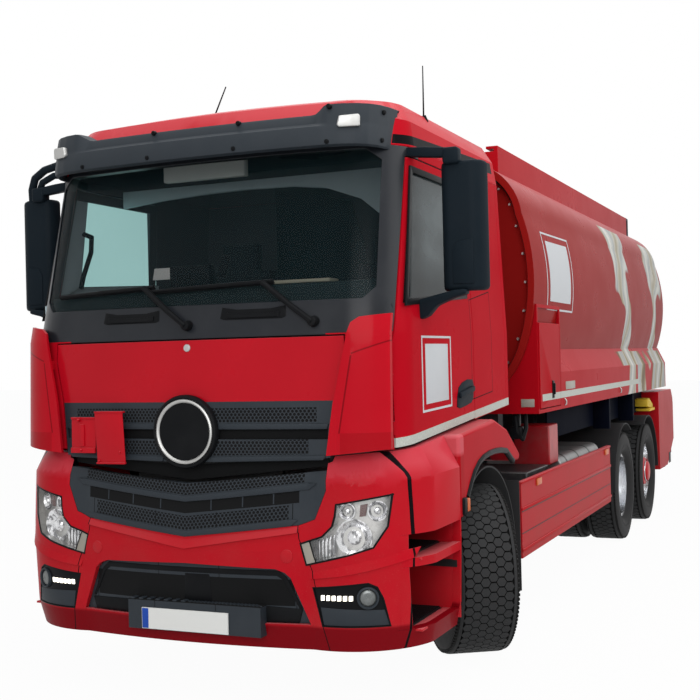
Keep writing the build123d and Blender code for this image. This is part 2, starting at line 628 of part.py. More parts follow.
# Dashboard, seats and steering wheel
DASH_TOP = 2035
SEAT_X = CAB_HALF - 590
SEAT_FRONT = 1150
CUSHION = (1560, 1700)
dash_outline = [(200, DASH_TOP - 315), (640, DASH_TOP - 315), (760, DASH_TOP - 135), (700, DASH_TOP),
                (200, DASH_TOP - 10)]
dash = along_x(dash_outline, (-floor_half + 30, floor_half - 30))
dash = dash & cab_body(CAB_WALL + 4, CAB_WALL + 4, ROOF_SKIN)
store("dashboard", dash - pair(door_hole))
seat = block((SEAT_X - 250, SEAT_X + 250), (SEAT_FRONT, SEAT_FRONT + 500), CUSHION)
backrest = [(SEAT_FRONT + 450, CUSHION[1]), (SEAT_FRONT + 550, CUSHION[1] + 680),
            (SEAT_FRONT + 650, CUSHION[1] + 680), (SEAT_FRONT + 590, CUSHION[0]), (SEAT_FRONT + 490, CUSHION[0])]
headrest = [(SEAT_FRONT + 545, CUSHION[1] + 680), (SEAT_FRONT + 575, CUSHION[1] + 860),
            (SEAT_FRONT + 650, CUSHION[1] + 860), (SEAT_FRONT + 640, CUSHION[1] + 680)]
seat += along_x(backrest, (SEAT_X - 240, SEAT_X + 240))
seat += along_x(headrest, (SEAT_X - 130, SEAT_X + 130))
seat += block((TUNNEL_HALF + 20, SEAT_X + 200), (SEAT_FRONT + 100, SEAT_FRONT + 450),
              (FLOOR_Z + FLOOR_SKIN, CUSHION[0]))
store("seats", pair(seat))
COLUMN_TILT = 35
WHEEL_CENTRE = (SEAT_X, 880, DASH_TOP + 25)
STEERING_R = 225
steering = Torus(STEERING_R, 17) + Cylinder(60, 50)
for turn in (0, 120, 240):
    steering += Rot(0, 0, turn + 90) * (Pos(STEERING_R / 2, 0, 0) * Box(STEERING_R, 40, 20))
steering += Pos(0, 0, -85) * Cylinder(26, 130)
store("steering_wheel", Pos(*WHEEL_CENTRE) * (Rot(-COLUMN_TILT, 0, 0) * steering))

# Sun visor: two broad steps over the screen, its ends turned back round the corners
VISOR_BEND_X = CAB_HALF - 350
VISOR_TURN = 33
visor_outline = [
    (175, SCREEN_HIGH), (150, SCREEN_HIGH + 22), (165, SCREEN_HIGH + 92), (215, SCREEN_HIGH + 122),
    (228, SCREEN_HIGH + 192), (255, SCREEN_HIGH + 207), (335, SCREEN_HIGH + 212), (335, SCREEN_HIGH + 194),
    (255, SCREEN_HIGH + 187), (243, SCREEN_HIGH + 117), (190, SCREEN_HIGH + 90), (175, SCREEN_HIGH + 27),
]
visor = along_x(visor_outline, (-VISOR_BEND_X, VISOR_BEND_X))
bend = Pos(VISOR_BEND_X, 235, 0)
unbend = Pos(-VISOR_BEND_X, -235, 0)
visor_end = along_x(visor_outline, (VISOR_BEND_X - 15, VISOR_BEND_X + 290))
visor_end = bend * (Rot(0, 0, VISOR_TURN) * (unbend * visor_end))
store("sun_visor", (visor + pair(visor_end)) - cab_body(-3))

# ---- bumper
bumper_form = bumper_body()
bumper = bumper_form - bumper_body(BUMPER_WALL)
BAND_X = BODY_HALF - 607    # where the lower grille's bottom edge turns up to its side
lower_grille_outline = mirrored_outline([
    (0, 1141), (220, 1158), (FLAP_LOW_X - 23, 1212), (FLAP_LOW_X - 20, 1110), (BAND_X + 88, 966),
    (BAND_X, 934), (190, 884), (0, 862)])
lower_grille_prism = along_y(lower_grille_outline, FLAP_REACH)
bumper_edge = mirrored_outline([(0, 1400), (OVER_WIDTH[1], 1400), (OVER_WIDTH[1], 1298), (CAB_HALF - 150, 1295),
                                (FLAP_LOW_X + 8, 1280), (FLAP_LOW_X + 2, 1255), (FLAP_LOW_X - 23, 1245),
                                (FLAP_LOW_X - 23, 1200), (220, 1145), (0, 1130)])
above_bumper = along_y(bumper_edge, (-100, DOOR_FRONT))
above_bumper += along_x([(DOOR_FRONT - 1, 1400), (DOOR_FRONT - 1, sill_z(DOOR_FRONT) - 12),
                         (BUMPER_REAR + 20, sill_z(BUMPER_REAR + 20) - 12), (BUMPER_REAR + 20, 1400)], OVER_WIDTH)
intake_outline = mirrored_outline([(0, 725), (510, 712), (562, 694), (592, 668), (690, 432), (0, 428)])
intake_prism = along_y(intake_outline, FLAP_REACH)
LAMP_OUT = BODY_HALF - 141
lamp_outline = [(LAMP_OUT - 269, 1046), (LAMP_OUT, 1092), (LAMP_OUT - 19, 928), (LAMP_OUT - 81, 824),
                (LAMP_OUT - 200, 787), (LAMP_OUT - 430, 731), (LAMP_OUT - 461, 846), (LAMP_OUT - 340, 886),
                (LAMP_OUT - 289, 935), (LAMP_OUT - 275, 987)]
lamp_prism = along_y(lamp_outline, (-100, 500))
fog_outline = [(LAMP_OUT - 398, 626), (LAMP_OUT - 112, 654), (LAMP_OUT - 71, 632), (LAMP_OUT - 47, 572),
               (LAMP_OUT - 22, 428), (LAMP_OUT - 350, 428)]
fog_prism = along_y(fog_outline, (-100, 520))
# step wells in the bumper's sides: lower and upper edge
STEP_SLOTS = [(760, 880), (400, 715)]
STEP_Y = (380, 830)
bumper -= lower_grille_prism + above_bumper + intake_prism + pair(lamp_prism) + pair(fog_prism)
for low, top in STEP_SLOTS:
    bumper -= pair(block((BODY_HALF - 145, OVER_WIDTH[1]), (STEP_Y[0] - 145, STEP_Y[1] + 15), (low, top)))
lower_grille = bumper_form - bumper_body(BUMPER_WALL - 8)
lower_grille &= along_y(lower_grille_outline, FLAP_REACH, INSERT_SEAM)
intake_trim = (bumper_body(26) - bumper_body(BUMPER_WALL)) & along_y(intake_outline, FLAP_REACH, INSERT_SEAM)
HOLDER_X = (-PLATE_W / 2 - 90, PLATE_W / 2 + 185)
HOLDER_Z = (PLATE_Z - 60, PLATE_Z + 95)
HOLDER_BACK = 75
plate_holder = block(HOLDER_X, (PLATE_T + PART_GAP, HOLDER_BACK), HOLDER_Z)
bumper -= block((HOLDER_X[0] - PART_GAP, HOLDER_X[1] + PART_GAP), (-100, HOLDER_BACK + PART_GAP),
                (HOLDER_Z[0] - PART_GAP, HOLDER_Z[1]))
store("bumper", bumper)
recess_outline = mirrored_outline([(0, CAB_BASE + 31), (FLAP_LOW_X - 26, CAB_BASE + 110),
                                   (FLAP_LOW_X - 26, FLAP_LOW_Z + 20), (0, FLAP_LOW_Z + 20)])
recess_wall = (cab_body(48) - cab_body(58)) & along_y(recess_outline, FLAP_REACH)
store("bumper_grilles", lower_grille + (intake_trim + plate_holder) + recess_wall)
headlamps = (bumper_body(4) - bumper_body(BUMPER_WALL - 2)) & lamp_prism
fog_lamps = (bumper_body(8) - bumper_body(BUMPER_WALL - 2)) & fog_prism
store("headlamps", pair(headlamps + fog_lamps))
plate_z = (PLATE_Z - PLATE_H / 2, PLATE_Z + PLATE_H / 2)
store("number_plate", block((-PLATE_W / 2, PLATE_W / 2), (0, PLATE_T), plate_z))

# ---- front fenders over the steered wheels, and the steps ahead of them
ARCH_TOP = 1195
FENDER_IN = BODY_HALF - 155
flare_front = BUMPER_REAR + PART_GAP
fender_outline = [
    (flare_front, 1060), (flare_front, sill_z(BUMPER_REAR) - 14), (1430, sill_z(1430) - 14), (1560, 1385),
    (1830, 1310), (2119, 1136), (2100, 1090), (1954, 1101), (1800, 1176), (1550, ARCH_TOP), (1300, 1178),
    (1120, 1110), (1060, 1060),
]
fender = along_x(fender_outline, (FENDER_IN, BODY_HALF))
fender += along_x([(flare_front, 880), (flare_front, 1070), (1070, 1070), (985, 985), (925, 880)],
                  (BODY_HALF - 36, BODY_HALF))
store("front_fenders", pair(fender))
LINER_T = 30
liner_low = [(900, 1030), (1040, 1045), (1110, 1112), (1299, 1181), (1550, ARCH_TOP + 3), (1802, 1179),
             (1955, 1104), (2090, 1093)]
liner_outline = liner_low + [(y, z + LINER_T) for y, z in reversed(liner_low)]
liner = along_x(liner_outline, (BODY_HALF - 605, FENDER_IN - 2))
STEP_IN = BODY_HALF - 345
STEP_T = 32
steps = block((STEP_IN - 20, STEP_IN - PART_GAP), STEP_Y, (STEP_SLOTS[1][0] - 35, CAB_BASE + 60))
for low, top in STEP_SLOTS:
    steps += block((STEP_IN - 2, BODY_HALF - 114), STEP_Y, (low - STEP_T - 3, low - 3))
store("cab_steps", pair(steps) + pair(liner))

# ---- door mirrors, on arms from the door's frame
MIRROR_X = (CAB_HALF + 100, CAB_HALF + 350)
MIRROR_Y = (590, 705)
MIRROR_Z = (2115, 2800)
head_outline = [
    (MIRROR_X[0], MIRROR_Y[1]), (MIRROR_X[0] + 8, MIRROR_Y[0] + 35), (MIRROR_X[0] + 45, MIRROR_Y[0]),
    (MIRROR_X[1] - 60, MIRROR_Y[0] + 5), (MIRROR_X[1] - 15, MIRROR_Y[0] + 40), (MIRROR_X[1], MIRROR_Y[1]),
]
head = along_z(head_outline, MIRROR_Z)
# height of the arm's root, its place along the vehicle, height where it reaches the head
ARMS = [(DOOR_TOP - 5, 540, MIRROR_Z[1] + 15), (2040, 540, MIRROR_Z[0] - 20)]
mirrors = head
arm_x = MIRROR_X[0] + 60
arm_y = (MIRROR_Y[0] + MIRROR_Y[1]) / 2
for root_z, root_y, head_z in ARMS:
    inward = 60 if head_z > MIRROR_Z[1] else -60
    mirrors += rod((arm_x, arm_y, head_z), (arm_x, arm_y, head_z - inward), 24)
    mirrors += rod((CAB_HALF - 90, root_y, root_z), (arm_x, arm_y, head_z), 24)
mirrors -= cab_body(-1)
for side_name, side in SIDES.items():
    store("mirror_" + side_name, mirrors if side > 0 else mirror(mirrors, about=Plane.YZ))


# ---- tank: broad oval shell with a rim that stands ahead of its front wall

def tank_face(y, inset=0.0):
    """Cross-section of the tank, set in all round."""
    top = (0, y, TANK_TOP - inset)
    crown = (BODY_HALF - 425 - inset * 0.4, y, TANK_TOP - 45 - inset)
    shoulder_mid = (BODY_HALF - 195 - inset * 0.75, y, 2995 - inset * 0.7)
    shoulder = (BODY_HALF - 77 - inset, y, 2750 - inset * 0.2)
    flank = (BODY_HALF - inset, y, TANK_MID)
    hip = (BODY_HALF - 85 - inset, y, 1800 + inset * 0.2)
    hip_mid = (BODY_HALF - 210 - inset * 0.75, y, 1592 + inset * 0.7)
    keel = (BODY_HALF - 445 - inset * 0.4, y, TANK_BOTTOM + 70 + inset)
    bottom = (0, y, TANK_BOTTOM + inset)

    def left(point):
        return (-point[0], point[1], point[2])

    edges = [
        ThreePointArc(left(crown), top, crown),
        ThreePointArc(crown, shoulder_mid, shoulder),
        ThreePointArc(shoulder, flank, hip),
        ThreePointArc(hip, hip_mid, keel),
        ThreePointArc(keel, bottom, left(keel)),
        ThreePointArc(left(keel), left(hip_mid), left(hip)),
        ThreePointArc(left(hip), left(flank), left(shoulder)),
        ThreePointArc(left(shoulder), left(shoulder_mid), left(crown)),
    ]
    return make_face(edges)


def tank_prism(front, rear, inset=0.0):
    """Straight stretch of the tank's form."""
    return extrude(tank_face(front, inset), amount=rear - front, dir=(0, 1, 0))


END_TAPER = 60
COLLAR_H = 70
LID_HINGE_X = -MANLID_R - 60
UPRIGHT = (Align.CENTER, Align.CENTER, Align.MIN)
tank = tank_prism(TANK_FRONT, TANK_REAR - END_TAPER)
tank += loft([tank_face(TANK_REAR - END_TAPER), tank_face(TANK_REAR, 50)], ruled=True)
tank -= tank_prism(TANK_FRONT - 1, TANK_FRONT + TANK_RECESS, TANK_RIM)
for station in MANLID_STATIONS:
    tank += Pos(0, station, TANK_TOP - 20) * Cylinder(MANLID_R - 15, COLLAR_H + 20, align=UPRIGHT)
    ear = block((LID_HINGE_X - 15, LID_HINGE_X + 15), (66, 84), (TANK_TOP - 30, TANK_TOP + COLLAR_H + 30))
    tank += pair_y(station, ear)
store("tank_shell", tank)
tank_form = tank_prism(TANK_FRONT - 10, TANK_REAR + 40, -1)

# Manhole lids, each hinged along its right edge
lid_z = TANK_TOP + COLLAR_H + PART_GAP
for number, station in enumerate(MANLID_STATIONS, start=1):
    lid = Pos(0, station, lid_z) * Cylinder(MANLID_R, 24, align=UPRIGHT)
    lid += Pos(0, station, lid_z + 24) * Cylinder(MANLID_R * 0.55, 14, align=UPRIGHT)
    lid += block((LID_HINGE_X, 20 - MANLID_R), (station - 60, station + 60), (lid_z + 3, lid_z + 21))
    lid += rod((LID_HINGE_X, station - 60, lid_z + 12), (LID_HINGE_X, station + 60, lid_z + 12), 14)
    store(f"manlid_{number}", lid)

# Coaming: side plates with a folded lip and end plates, open tray between them
plate = block((COAMING_X - COAMING_T, COAMING_X), (COAMING_FRONT, COAMING_REAR), (COAMING_LOW, COAMING_TOP))
plate += block((COAMING_X - COAMING_LIP, COAMING_X), (COAMING_FRONT, COAMING_REAR),
               (COAMING_TOP - 20, COAMING_TOP))
coaming = pair(plate)
for station in (COAMING_FRONT, COAMING_REAR - COAMING_T):
    coaming += block((COAMING_T - COAMING_X, COAMING_X - COAMING_T), (station, station + COAMING_T),
                     (COAMING_LOW, COAMING_TOP - 40))
store("tank_coaming", coaming - tank_form)

# Tank bearers on the frame rails
BEARER_TOP = 1130
bearer_y = (TANK_FRONT + 150, CABINET_FRONT - 100)
bearers = pair(block((RAIL_INNER + 5, RAIL_HALF - 5), bearer_y, (RAIL_TOP + PART_GAP, BEARER_TOP)))
saddle_half = LOCKER_X[0] - 2
for station in range(int(TANK_FRONT + 300), int(CABINET_FRONT - 400), 1000):
    bearers += block((-saddle_half, saddle_half), (station, station + 120), (BEARER_TOP, 1600))
store("tank_bearers", bearers - tank_form)

# Side lockers and trunks along the tank's flanks
trunk_section = [
    (LOCKER_X[0], TRUNK_LOW), (BODY_HALF, TRUNK_LOW), (BODY_HALF, TRUNK_SHOULDER),
    (BODY_HALF - 95, TRUNK_TOP + 60), (LOCKER_X[0], TRUNK_TOP + 60),
]
trunk = along_y(trunk_section, (LOCKER_BACK + 2, TRUNK_BACK))
locker = block(LOCKER_X, (LOCKER_FRONT, LOCKER_BACK), (TRUNK_LOW, LOCKER_TOP))
locker -= block((LOCKER_X[0] + LOCKER_WALL, BODY_HALF + 1),
                (LOCKER_FRONT + LOCKER_WALL, LOCKER_BACK - LOCKER_WALL),
                (TRUNK_LOW + LOCKER_WALL, LOCKER_TOP - LOCKER_WALL))
store("side_trunks", pair((trunk + locker) - tank_form))

DOOR_T = 22
LOCKER_DOOR_TOP = 1990
LOCKER_PIN_R = 5
door_edge = LOCKER_WALL + MOVING_GAP
locker_pin = (BODY_HALF + 4, LOCKER_FRONT + door_edge - 4)
locker_door_z = (TRUNK_LOW + door_edge, LOCKER_DOOR_TOP)
locker_door = block((BODY_HALF - DOOR_T, BODY_HALF), (LOCKER_FRONT + door_edge, LOCKER_BACK - door_edge),
                    locker_door_z)
locker_door += rod((*locker_pin, locker_door_z[0]), (*locker_pin, locker_door_z[1]), LOCKER_PIN_R)
locker_door += block((BODY_HALF - 1, BODY_HALF + 6), (LOCKER_BACK - 300, LOCKER_BACK - 250), (1455, 1575))
for side_name, side in SIDES.items():
    store("locker_door_" + side_name, locker_door if side > 0 else mirror(locker_door, about=Plane.YZ))

# ---- side skirts, mudguards, boxes on the frame
skirt = block((BODY_HALF - SKIRT_T, BODY_HALF), (SKIRT_FRONT, SKIRT_BACK), (SKIRT_LOW, SKIRT_TOP))
skirts = pair(skirt)
BRACKET_HALF = 25
SKIRT_BRACKETS = (SKIRT_FRONT + 117, BATTERY_Y[1] + 30, SKIRT_BACK - 60)
for station in SKIRT_BRACKETS:
    skirts += pair(block((RAIL_HALF + PART_GAP, BODY_HALF - SKIRT_T - PART_GAP),
                         (station - BRACKET_HALF, station + BRACKET_HALF), (RAIL_LOW + 60, RAIL_LOW + 110)))
store("side_skirts", skirts)
GUARD_GAP = 70
GUARD_T = 12
GUARD_IN = BODY_HALF - 675


def mudguard(axle_y, sweep_from, sweep_to):
    """Curved guard over a rear wheel, bent round its axle."""
    low = REAR_TYRE_R + GUARD_GAP
    reach = REAR_TYRE_R + 400
    width = BODY_HALF - GUARD_IN
    ring = Rot(0, 90, 0) * (Cylinder(low + GUARD_T, width) - Cylinder(low, width))
    ring = Pos(BODY_HALF - width / 2, axle_y, REAR_TYRE_R) * ring
    corners = [(axle_y, REAR_TYRE_R)]
    for turn in range(sweep_from, sweep_to + 1, 30):
        angle = math.radians(turn)
        corners.append((axle_y + reach * math.cos(angle), REAR_TYRE_R + reach * math.sin(angle)))
    return ring & along_x(corners, (GUARD_IN - 70, BODY_HALF + 55))


store("rear_mudguards", pair(mudguard(DRIVE_AXLE_Y, 60, 180) + mudguard(TAG_AXLE_Y, 0, 120)))
BOX_IN = RAIL_HALF + 195
FUEL_Y = (BATTERY_Y[1] + 360, SKIRT_BACK - 100)
FUEL_Z = (500, 985)
fuel_tank = block((RAIL_HALF + 135, BODY_HALF - 75), FUEL_Y, FUEL_Z)
fuel_tank = fillet(fuel_tank.edges().filter_by(Axis.Y), 90)
boxes = [
    block((RAIL_HALF + 455, BODY_HALF - 90), (BATTERY_Y[1] + 45, BATTERY_Y[1] + 320), (945, 1240)),
    block((BOX_IN, BODY_HALF - 95), BATTERY_Y, (560, 955)),
    fuel_tank,
]
# bracket from the frame rail: reach across, station, half length, height
BRACKETS = [
    (RAIL_HALF + 454, BATTERY_Y[1] + 180, 60, 965),
    (BOX_IN - PART_GAP, BATTERY_Y[0] + 300, 120, 800),
    (RAIL_HALF + 134, FUEL_Y[0] + 250, 40, 800),
    (RAIL_HALF + 134, FUEL_Y[1] - 250, 40, 800),
]
service = Part()
for shape in boxes:
    service += pair(shape)
for reach_x, station, half, low in BRACKETS:
    service += pair(block((RAIL_HALF + PART_GAP, reach_x), (station - half, station + half), (low, low + 30)))
store("service_boxes", service)

# ---- rear cabinet with its lift-up door, bumper bar and ladder
CHAMFER_FRONT = CABINET_BACK - 540
wall_back = CABINET_BACK - REAR_DOOR_T - 2


def cabinet_profile(inset):
    """Side view of the cabinet with its raised rear underside and sloped top edge."""
    return [(CABINET_FRONT + inset, CABINET_LOW + inset), (CHAMFER_FRONT, CABINET_LOW + inset),
            (wall_back + inset, REAR_DOOR_LOW + inset), (wall_back + inset, 1203 - inset),
            (CABINET_BACK - 150, CABINET_TOP - inset), (CABINET_FRONT + inset, CABINET_TOP - inset)]


def cabinet_form(half, inset=0.0):
    return along_x(cabinet_profile(inset), (-half, half))


cabinet = cabinet_form(BODY_HALF) - cabinet_form(BODY_HALF - CABINET_WALL, CABINET_WALL)
store("rear_cabinet", cabinet - tank_form - pair(trunk))
REAR_HINGE = (CABINET_BACK - 10, REAR_DOOR_TOP + 6)
rear_door = block((2 - BODY_HALF, BODY_HALF - 2), (CABINET_BACK - REAR_DOOR_T, CABINET_BACK),
                  (REAR_DOOR_LOW + 2, REAR_DOOR_TOP))
rear_door += rod((-BODY_HALF + 60, *REAR_HINGE), (BODY_HALF - 60, *REAR_HINGE), HINGE_PIN_R)
store("rear_door", rear_door)
BAR_LOW = 385
BAR_H = 100
TOW_BORE_R = 21
bar_y = (CABINET_BACK - 190, CABINET_BACK - 90)
bar_top = BAR_LOW + BAR_H
underside = (REAR_DOOR_LOW - CABINET_LOW) / (wall_back - CHAMFER_FRONT)
bar = block((-1150, 1150), bar_y, (BAR_LOW, bar_top))
post_top = [(y, CABINET_LOW - PART_GAP * 2 + underside * (y - CHAMFER_FRONT)) for y in bar_y]
post = along_x([(bar_y[0], bar_top - 1), (bar_y[1], bar_top - 1), post_top[1], post_top[0]], (300, 360))
bar += pair(post)
bar -= Pos(0, (bar_y[0] + bar_y[1]) / 2, BAR_LOW) * Cylinder(TOW_BORE_R, 3 * BAR_H)
store("rear_bumper", bar)
LADDER_X = 220
ladder_y = TANK_REAR + 60
ladder = pair(rod((LADDER_X, ladder_y, CABINET_TOP + PART_GAP), (LADDER_X, ladder_y, 3300), 18))
for rung in range(7):
    ladder += rod((-LADDER_X, ladder_y, 1500 + rung * 280), (LADDER_X, ladder_y, 1500 + rung * 280), 14)
for foot_z in (1560, 3020):
    ladder += pair(rod((LADDER_X, TANK_REAR - 49, foot_z), (LADDER_X, ladder_y, foot_z), 14))
store("rear_ladder", ladder - tank_form)

os.makedirs("parts", exist_ok=True)
for name, shape in nodes.items():
    export_step(Pos(0, -LENGTH / 2, 0) * shape, f"parts/{name}.step")
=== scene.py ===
"""Dresses the three-axle tank truck: finishes for every node, and the trim that the solids leave out."""
import json
import math

import bmesh
import bpy
from mathutils import Matrix, Vector


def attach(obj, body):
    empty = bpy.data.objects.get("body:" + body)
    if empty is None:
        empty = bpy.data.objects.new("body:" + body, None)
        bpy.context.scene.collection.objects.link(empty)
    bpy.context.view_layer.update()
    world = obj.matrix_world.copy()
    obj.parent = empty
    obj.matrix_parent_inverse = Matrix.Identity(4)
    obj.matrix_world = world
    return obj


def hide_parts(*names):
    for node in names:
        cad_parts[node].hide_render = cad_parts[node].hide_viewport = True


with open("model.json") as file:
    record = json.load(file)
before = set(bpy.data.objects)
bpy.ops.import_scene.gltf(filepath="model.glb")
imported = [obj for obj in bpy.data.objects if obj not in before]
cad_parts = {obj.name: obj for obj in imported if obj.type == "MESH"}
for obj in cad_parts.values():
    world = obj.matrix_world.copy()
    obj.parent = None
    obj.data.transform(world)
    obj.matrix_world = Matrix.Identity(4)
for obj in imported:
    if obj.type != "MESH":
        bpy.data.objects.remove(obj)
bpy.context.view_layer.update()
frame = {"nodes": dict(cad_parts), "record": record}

# Lengths below are millimetres counted from the truck's nose, as on a workshop drawing
LENGTH = 9140
TO_FRAME = Matrix.Scale(0.001, 4) @ Matrix.Translation((0, -LENGTH / 2, 0))
CAB_MIDDLE = (0, 1250, 2100)
FRONT_AXLE = (1440, 498)
DRIVE_AXLE = (5940, 507)
TAG_AXLE = (7290, 507)
KINGPIN_X = 1000
FRONT_WHEEL_X = 1080
REAR_WHEEL_X = 1077.5
STEER_REST = math.radians(33)
SIDES = {"left": 1, "right": -1}


# ---- arithmetic on shader sockets

class Wire:
    """A shader value that takes part in arithmetic."""

    def __init__(self, tree, socket):
        self.tree = tree
        self.socket = socket

    def math(self, operation, *others):
        return self.tree.node("ShaderNodeMath", {"operation": operation}, [self, *others])

    def __add__(self, other):
        return self.math("ADD", other)

    def __sub__(self, other):
        return self.math("SUBTRACT", other)

    def __rsub__(self, other):
        return self * -1 + other

    def __mul__(self, other):
        return self.math("MULTIPLY", other)

    def __truediv__(self, other):
        return self.math("DIVIDE", other)

    def __gt__(self, other):
        return self.math("GREATER_THAN", other)

    def __lt__(self, other):
        return self.math("LESS_THAN", other)

    def __abs__(self):
        return self.math("ABSOLUTE")

    __radd__ = __add__
    __rmul__ = __mul__

    def either(self, other):
        return self.math("MAXIMUM", other)

    def between(self, low, high):
        return (self > low) * (self < high)

    def rise(self, start, end):
        """0 before start, 1 past end, straight between them."""
        slope = (self - start) / (end - start)
        return slope.math("MINIMUM", 1.0).math("MAXIMUM", 0.0)


class Tree:
    """Nodes of a material or of the world."""

    def __init__(self, graph):
        self.graph = graph

    def link(self, wire, socket):
        self.graph.links.new(wire.socket, socket)

    def node(self, kind, settings=(), inputs=(), output=0):
        """Add a node: its settings first, then the values or links of its sockets."""
        made = self.graph.nodes.new(kind)
        for key, value in dict(settings).items():
            if key == "stops":
                for spot, (place, colour) in enumerate(value):
                    element = made.color_ramp.elements[spot] if spot < 2 else made.color_ramp.elements.new(place)
                    element.position = place
                    element.color = (*colour, 1.0)
            else:
                setattr(made, key, value)
        for key, value in inputs.items() if isinstance(inputs, dict) else enumerate(inputs):
            if isinstance(value, Wire):
                self.link(value, made.inputs[key])
            else:
                made.inputs[key].default_value = value
        return Wire(self, made.outputs[output])

    def vector(self, operation, first, second, output=0):
        return self.node("ShaderNodeVectorMath", {"operation": operation}, [first, second], output)

    def split(self, vector):
        parts = self.node("ShaderNodeSeparateXYZ", {}, [vector]).socket.node
        return [Wire(self, parts.outputs[axis]) for axis in range(3)]


class Finish(Tree):
    """A procedural finish; colours are linear."""

    def __init__(self, name, colour, roughness=0.5, metallic=0.0, **sockets):
        self.material = bpy.data.materials.new(name)
        self.material.use_nodes = True
        super().__init__(self.material.node_tree)
        self.shader = self.graph.nodes["Principled BSDF"]
        self.colour = (*colour, 1.0)
        values = {"Base Color": self.colour, "Roughness": roughness, "Metallic": metallic}
        for socket, value in {**values, **sockets}.items():
            self.shader.inputs[socket.replace("_", " ")].default_value = value
        self.material.diffuse_color = self.colour
        self.object_point = None

    def point(self):
        if self.object_point is None:
            coords = self.node("ShaderNodeTexCoord", output="Object")
            shifted = self.node("ShaderNodeVectorMath", {"operation": "SCALE"}, {0: coords, "Scale": 1000.0})
            self.object_point = self.vector("ADD", shifted, (0, LENGTH / 2, 0))
        return self.object_point

    def place(self):
        """x, y, z in millimetres from the nose."""
        return self.split(self.point())

    def inward(self, middle):
        """1 on faces that look towards a middle point."""
        normal = self.node("ShaderNodeTexCoord", output="Normal")
        return self.vector("DOT_PRODUCT", normal, self.vector("SUBTRACT", self.point(), middle), "Value") < 0.0

    def upward(self):
        """How far a face looks up: 1 is level."""
        return self.split(self.node("ShaderNodeTexCoord", output="Normal"))[2]

    def noise(self, size, detail=3.0, roughness=0.5, stretch=(1, 1, 1)):
        """Noise whose features are about this many millimetres."""
        point = self.point()
        if stretch != (1, 1, 1):
            point = self.vector("MULTIPLY", point, stretch)
        return self.node("ShaderNodeTexNoise", {}, {
            "Vector": point, "Scale": 1.0 / size, "Detail": detail, "Roughness": roughness})

    def blend(self, mask, colour):
        """Lay a colour over the finish where the mask is 1."""
        links = self.shader.inputs["Base Color"].links
        under = Wire(self, links[0].from_socket) if links else self.colour
        top = colour if isinstance(colour, Wire) else (*colour, 1.0)
        mixed = self.node("ShaderNodeMix", {"data_type": "RGBA"}, {0: mask, 6: under, 7: top}, 2)
        self.link(mixed, self.shader.inputs["Base Color"])

    def feed(self, socket, wire):
        self.link(wire, self.shader.inputs[socket])

    def bump(self, height, distance, strength=1.0):
        """Surface relief; the distance is in millimetres."""
        self.feed("Normal", self.node("ShaderNodeBump", {}, {
            "Height": height, "Distance": distance / 1000, "Strength": strength}))

    def grain(self, size, distance, strength=0.5):
        self.bump(self.noise(size, 4.0, 0.6), distance, strength)


# ---- finishes

RED = (0.46, 0.004, 0.013)
PLASTIC = (0.020, 0.026, 0.033)
TRIM_GREY = (0.085, 0.092, 0.10)
SILVER = (0.42, 0.44, 0.40)
DUST = (0.26, 0.21, 0.17)


def paint(name, marks=(), dust=0.35, lined=False, colour=RED, sheen=0.15):
    """Coachwork paint with a clear coat, road dust towards the ground, a painted highlight of paler red on faces
    that look up, painted marks, and a trim lining inside."""
    finish = Finish(name, colour, 0.34, IOR=1.02 + sheen * 0.8, Coat_Weight=sheen, Coat_Roughness=0.05)
    x, y, z = finish.place()
    film = finish.noise(420, 5.0, 0.6)
    specks = finish.noise(9, 2.0, 0.7)
    low = 1 - z.rise(350, 1500)
    finish.blend(film.rise(0.35, 0.75) * 0.22, (colour[0] * 0.66, colour[1] * 0.5, colour[2] * 0.5))
    # Painted highlight: faces that look up are blended towards a pale pink, as if lit from above
    finish.blend(finish.upward().rise(0.3, 1.0) * 0.34, (0.80, 0.28, 0.30))
    finish.blend((low * film.rise(0.3, 0.8) * 0.35 + low * specks.rise(0.62, 0.72) * 0.3) * dust, DUST)
    finish.feed("Roughness", film.rise(0.3, 0.9) * 0.10 + low * 0.10 + 0.26)
    for mark in marks:
        mask, shade = mark(finish, x, y, z)
        finish.blend(mask, shade)
    if lined:
        inside = finish.inward(CAB_MIDDLE)
        finish.blend(inside, TRIM_GREY)
        finish.feed("Coat Weight", (1 - inside) * sheen)
    finish.bump(finish.noise(60, 2.0), 0.25, 0.06)
    return finish.material


def joints_and_painted_light(finish, x, y, z):
    """Dark joints down the bumper, beside the intake and ahead of the steps; painted shade on its lower lip and on the
    inner faces of its shell, and a painted highlight on its faces that look up.
    """
    far = abs(x)
    edge = 780 - z.rise(297, 706) * 70 - z.rise(706, 867) * 70 - z.rise(867, 1042) * 15
    inner = (abs(far - edge) < 2.6) * (z < 1060)
    gap = abs(y - 292 + z.rise(1190, 1300) * 34)
    outer = (gap < z.rise(835, 850) * 4 + z.rise(1200, 1290) * 7 + 6) * (far > 940)
    # Painted shade: the lower lip in a deeper red below 432 mm
    finish.blend(1 - z.rise(416, 432), (0.20, 0.002, 0.006))
    # Painted highlight: the shoulder's faces that look up blended towards a pale pink
    finish.blend(finish.upward().rise(0.12, 0.5) * (z > 1000) * 0.32, (0.72, 0.09, 0.13))
    # Painted shade: the shell's inner faces above the grille painted black, with the joints
    outer = outer.either(finish.inward((0, 600, 900)) * (far < 900) * (z > 880))
    return inner.either(outer), (0.004, 0.002, 0.003)


def brow(finish, x, y, z):
    """Roof's front painted black under the visor's lip, over the windscreen: painted shade under the visor."""
    return (z < 2972) * (y < 430), (0.004, 0.004, 0.005)


def lined_up(y, z, start, end):
    """Height above the straight line through two (y, z) points."""
    slope = (end[1] - start[1]) / (end[0] - start[0])
    return z - (y * slope + (start[1] - slope * start[0]))


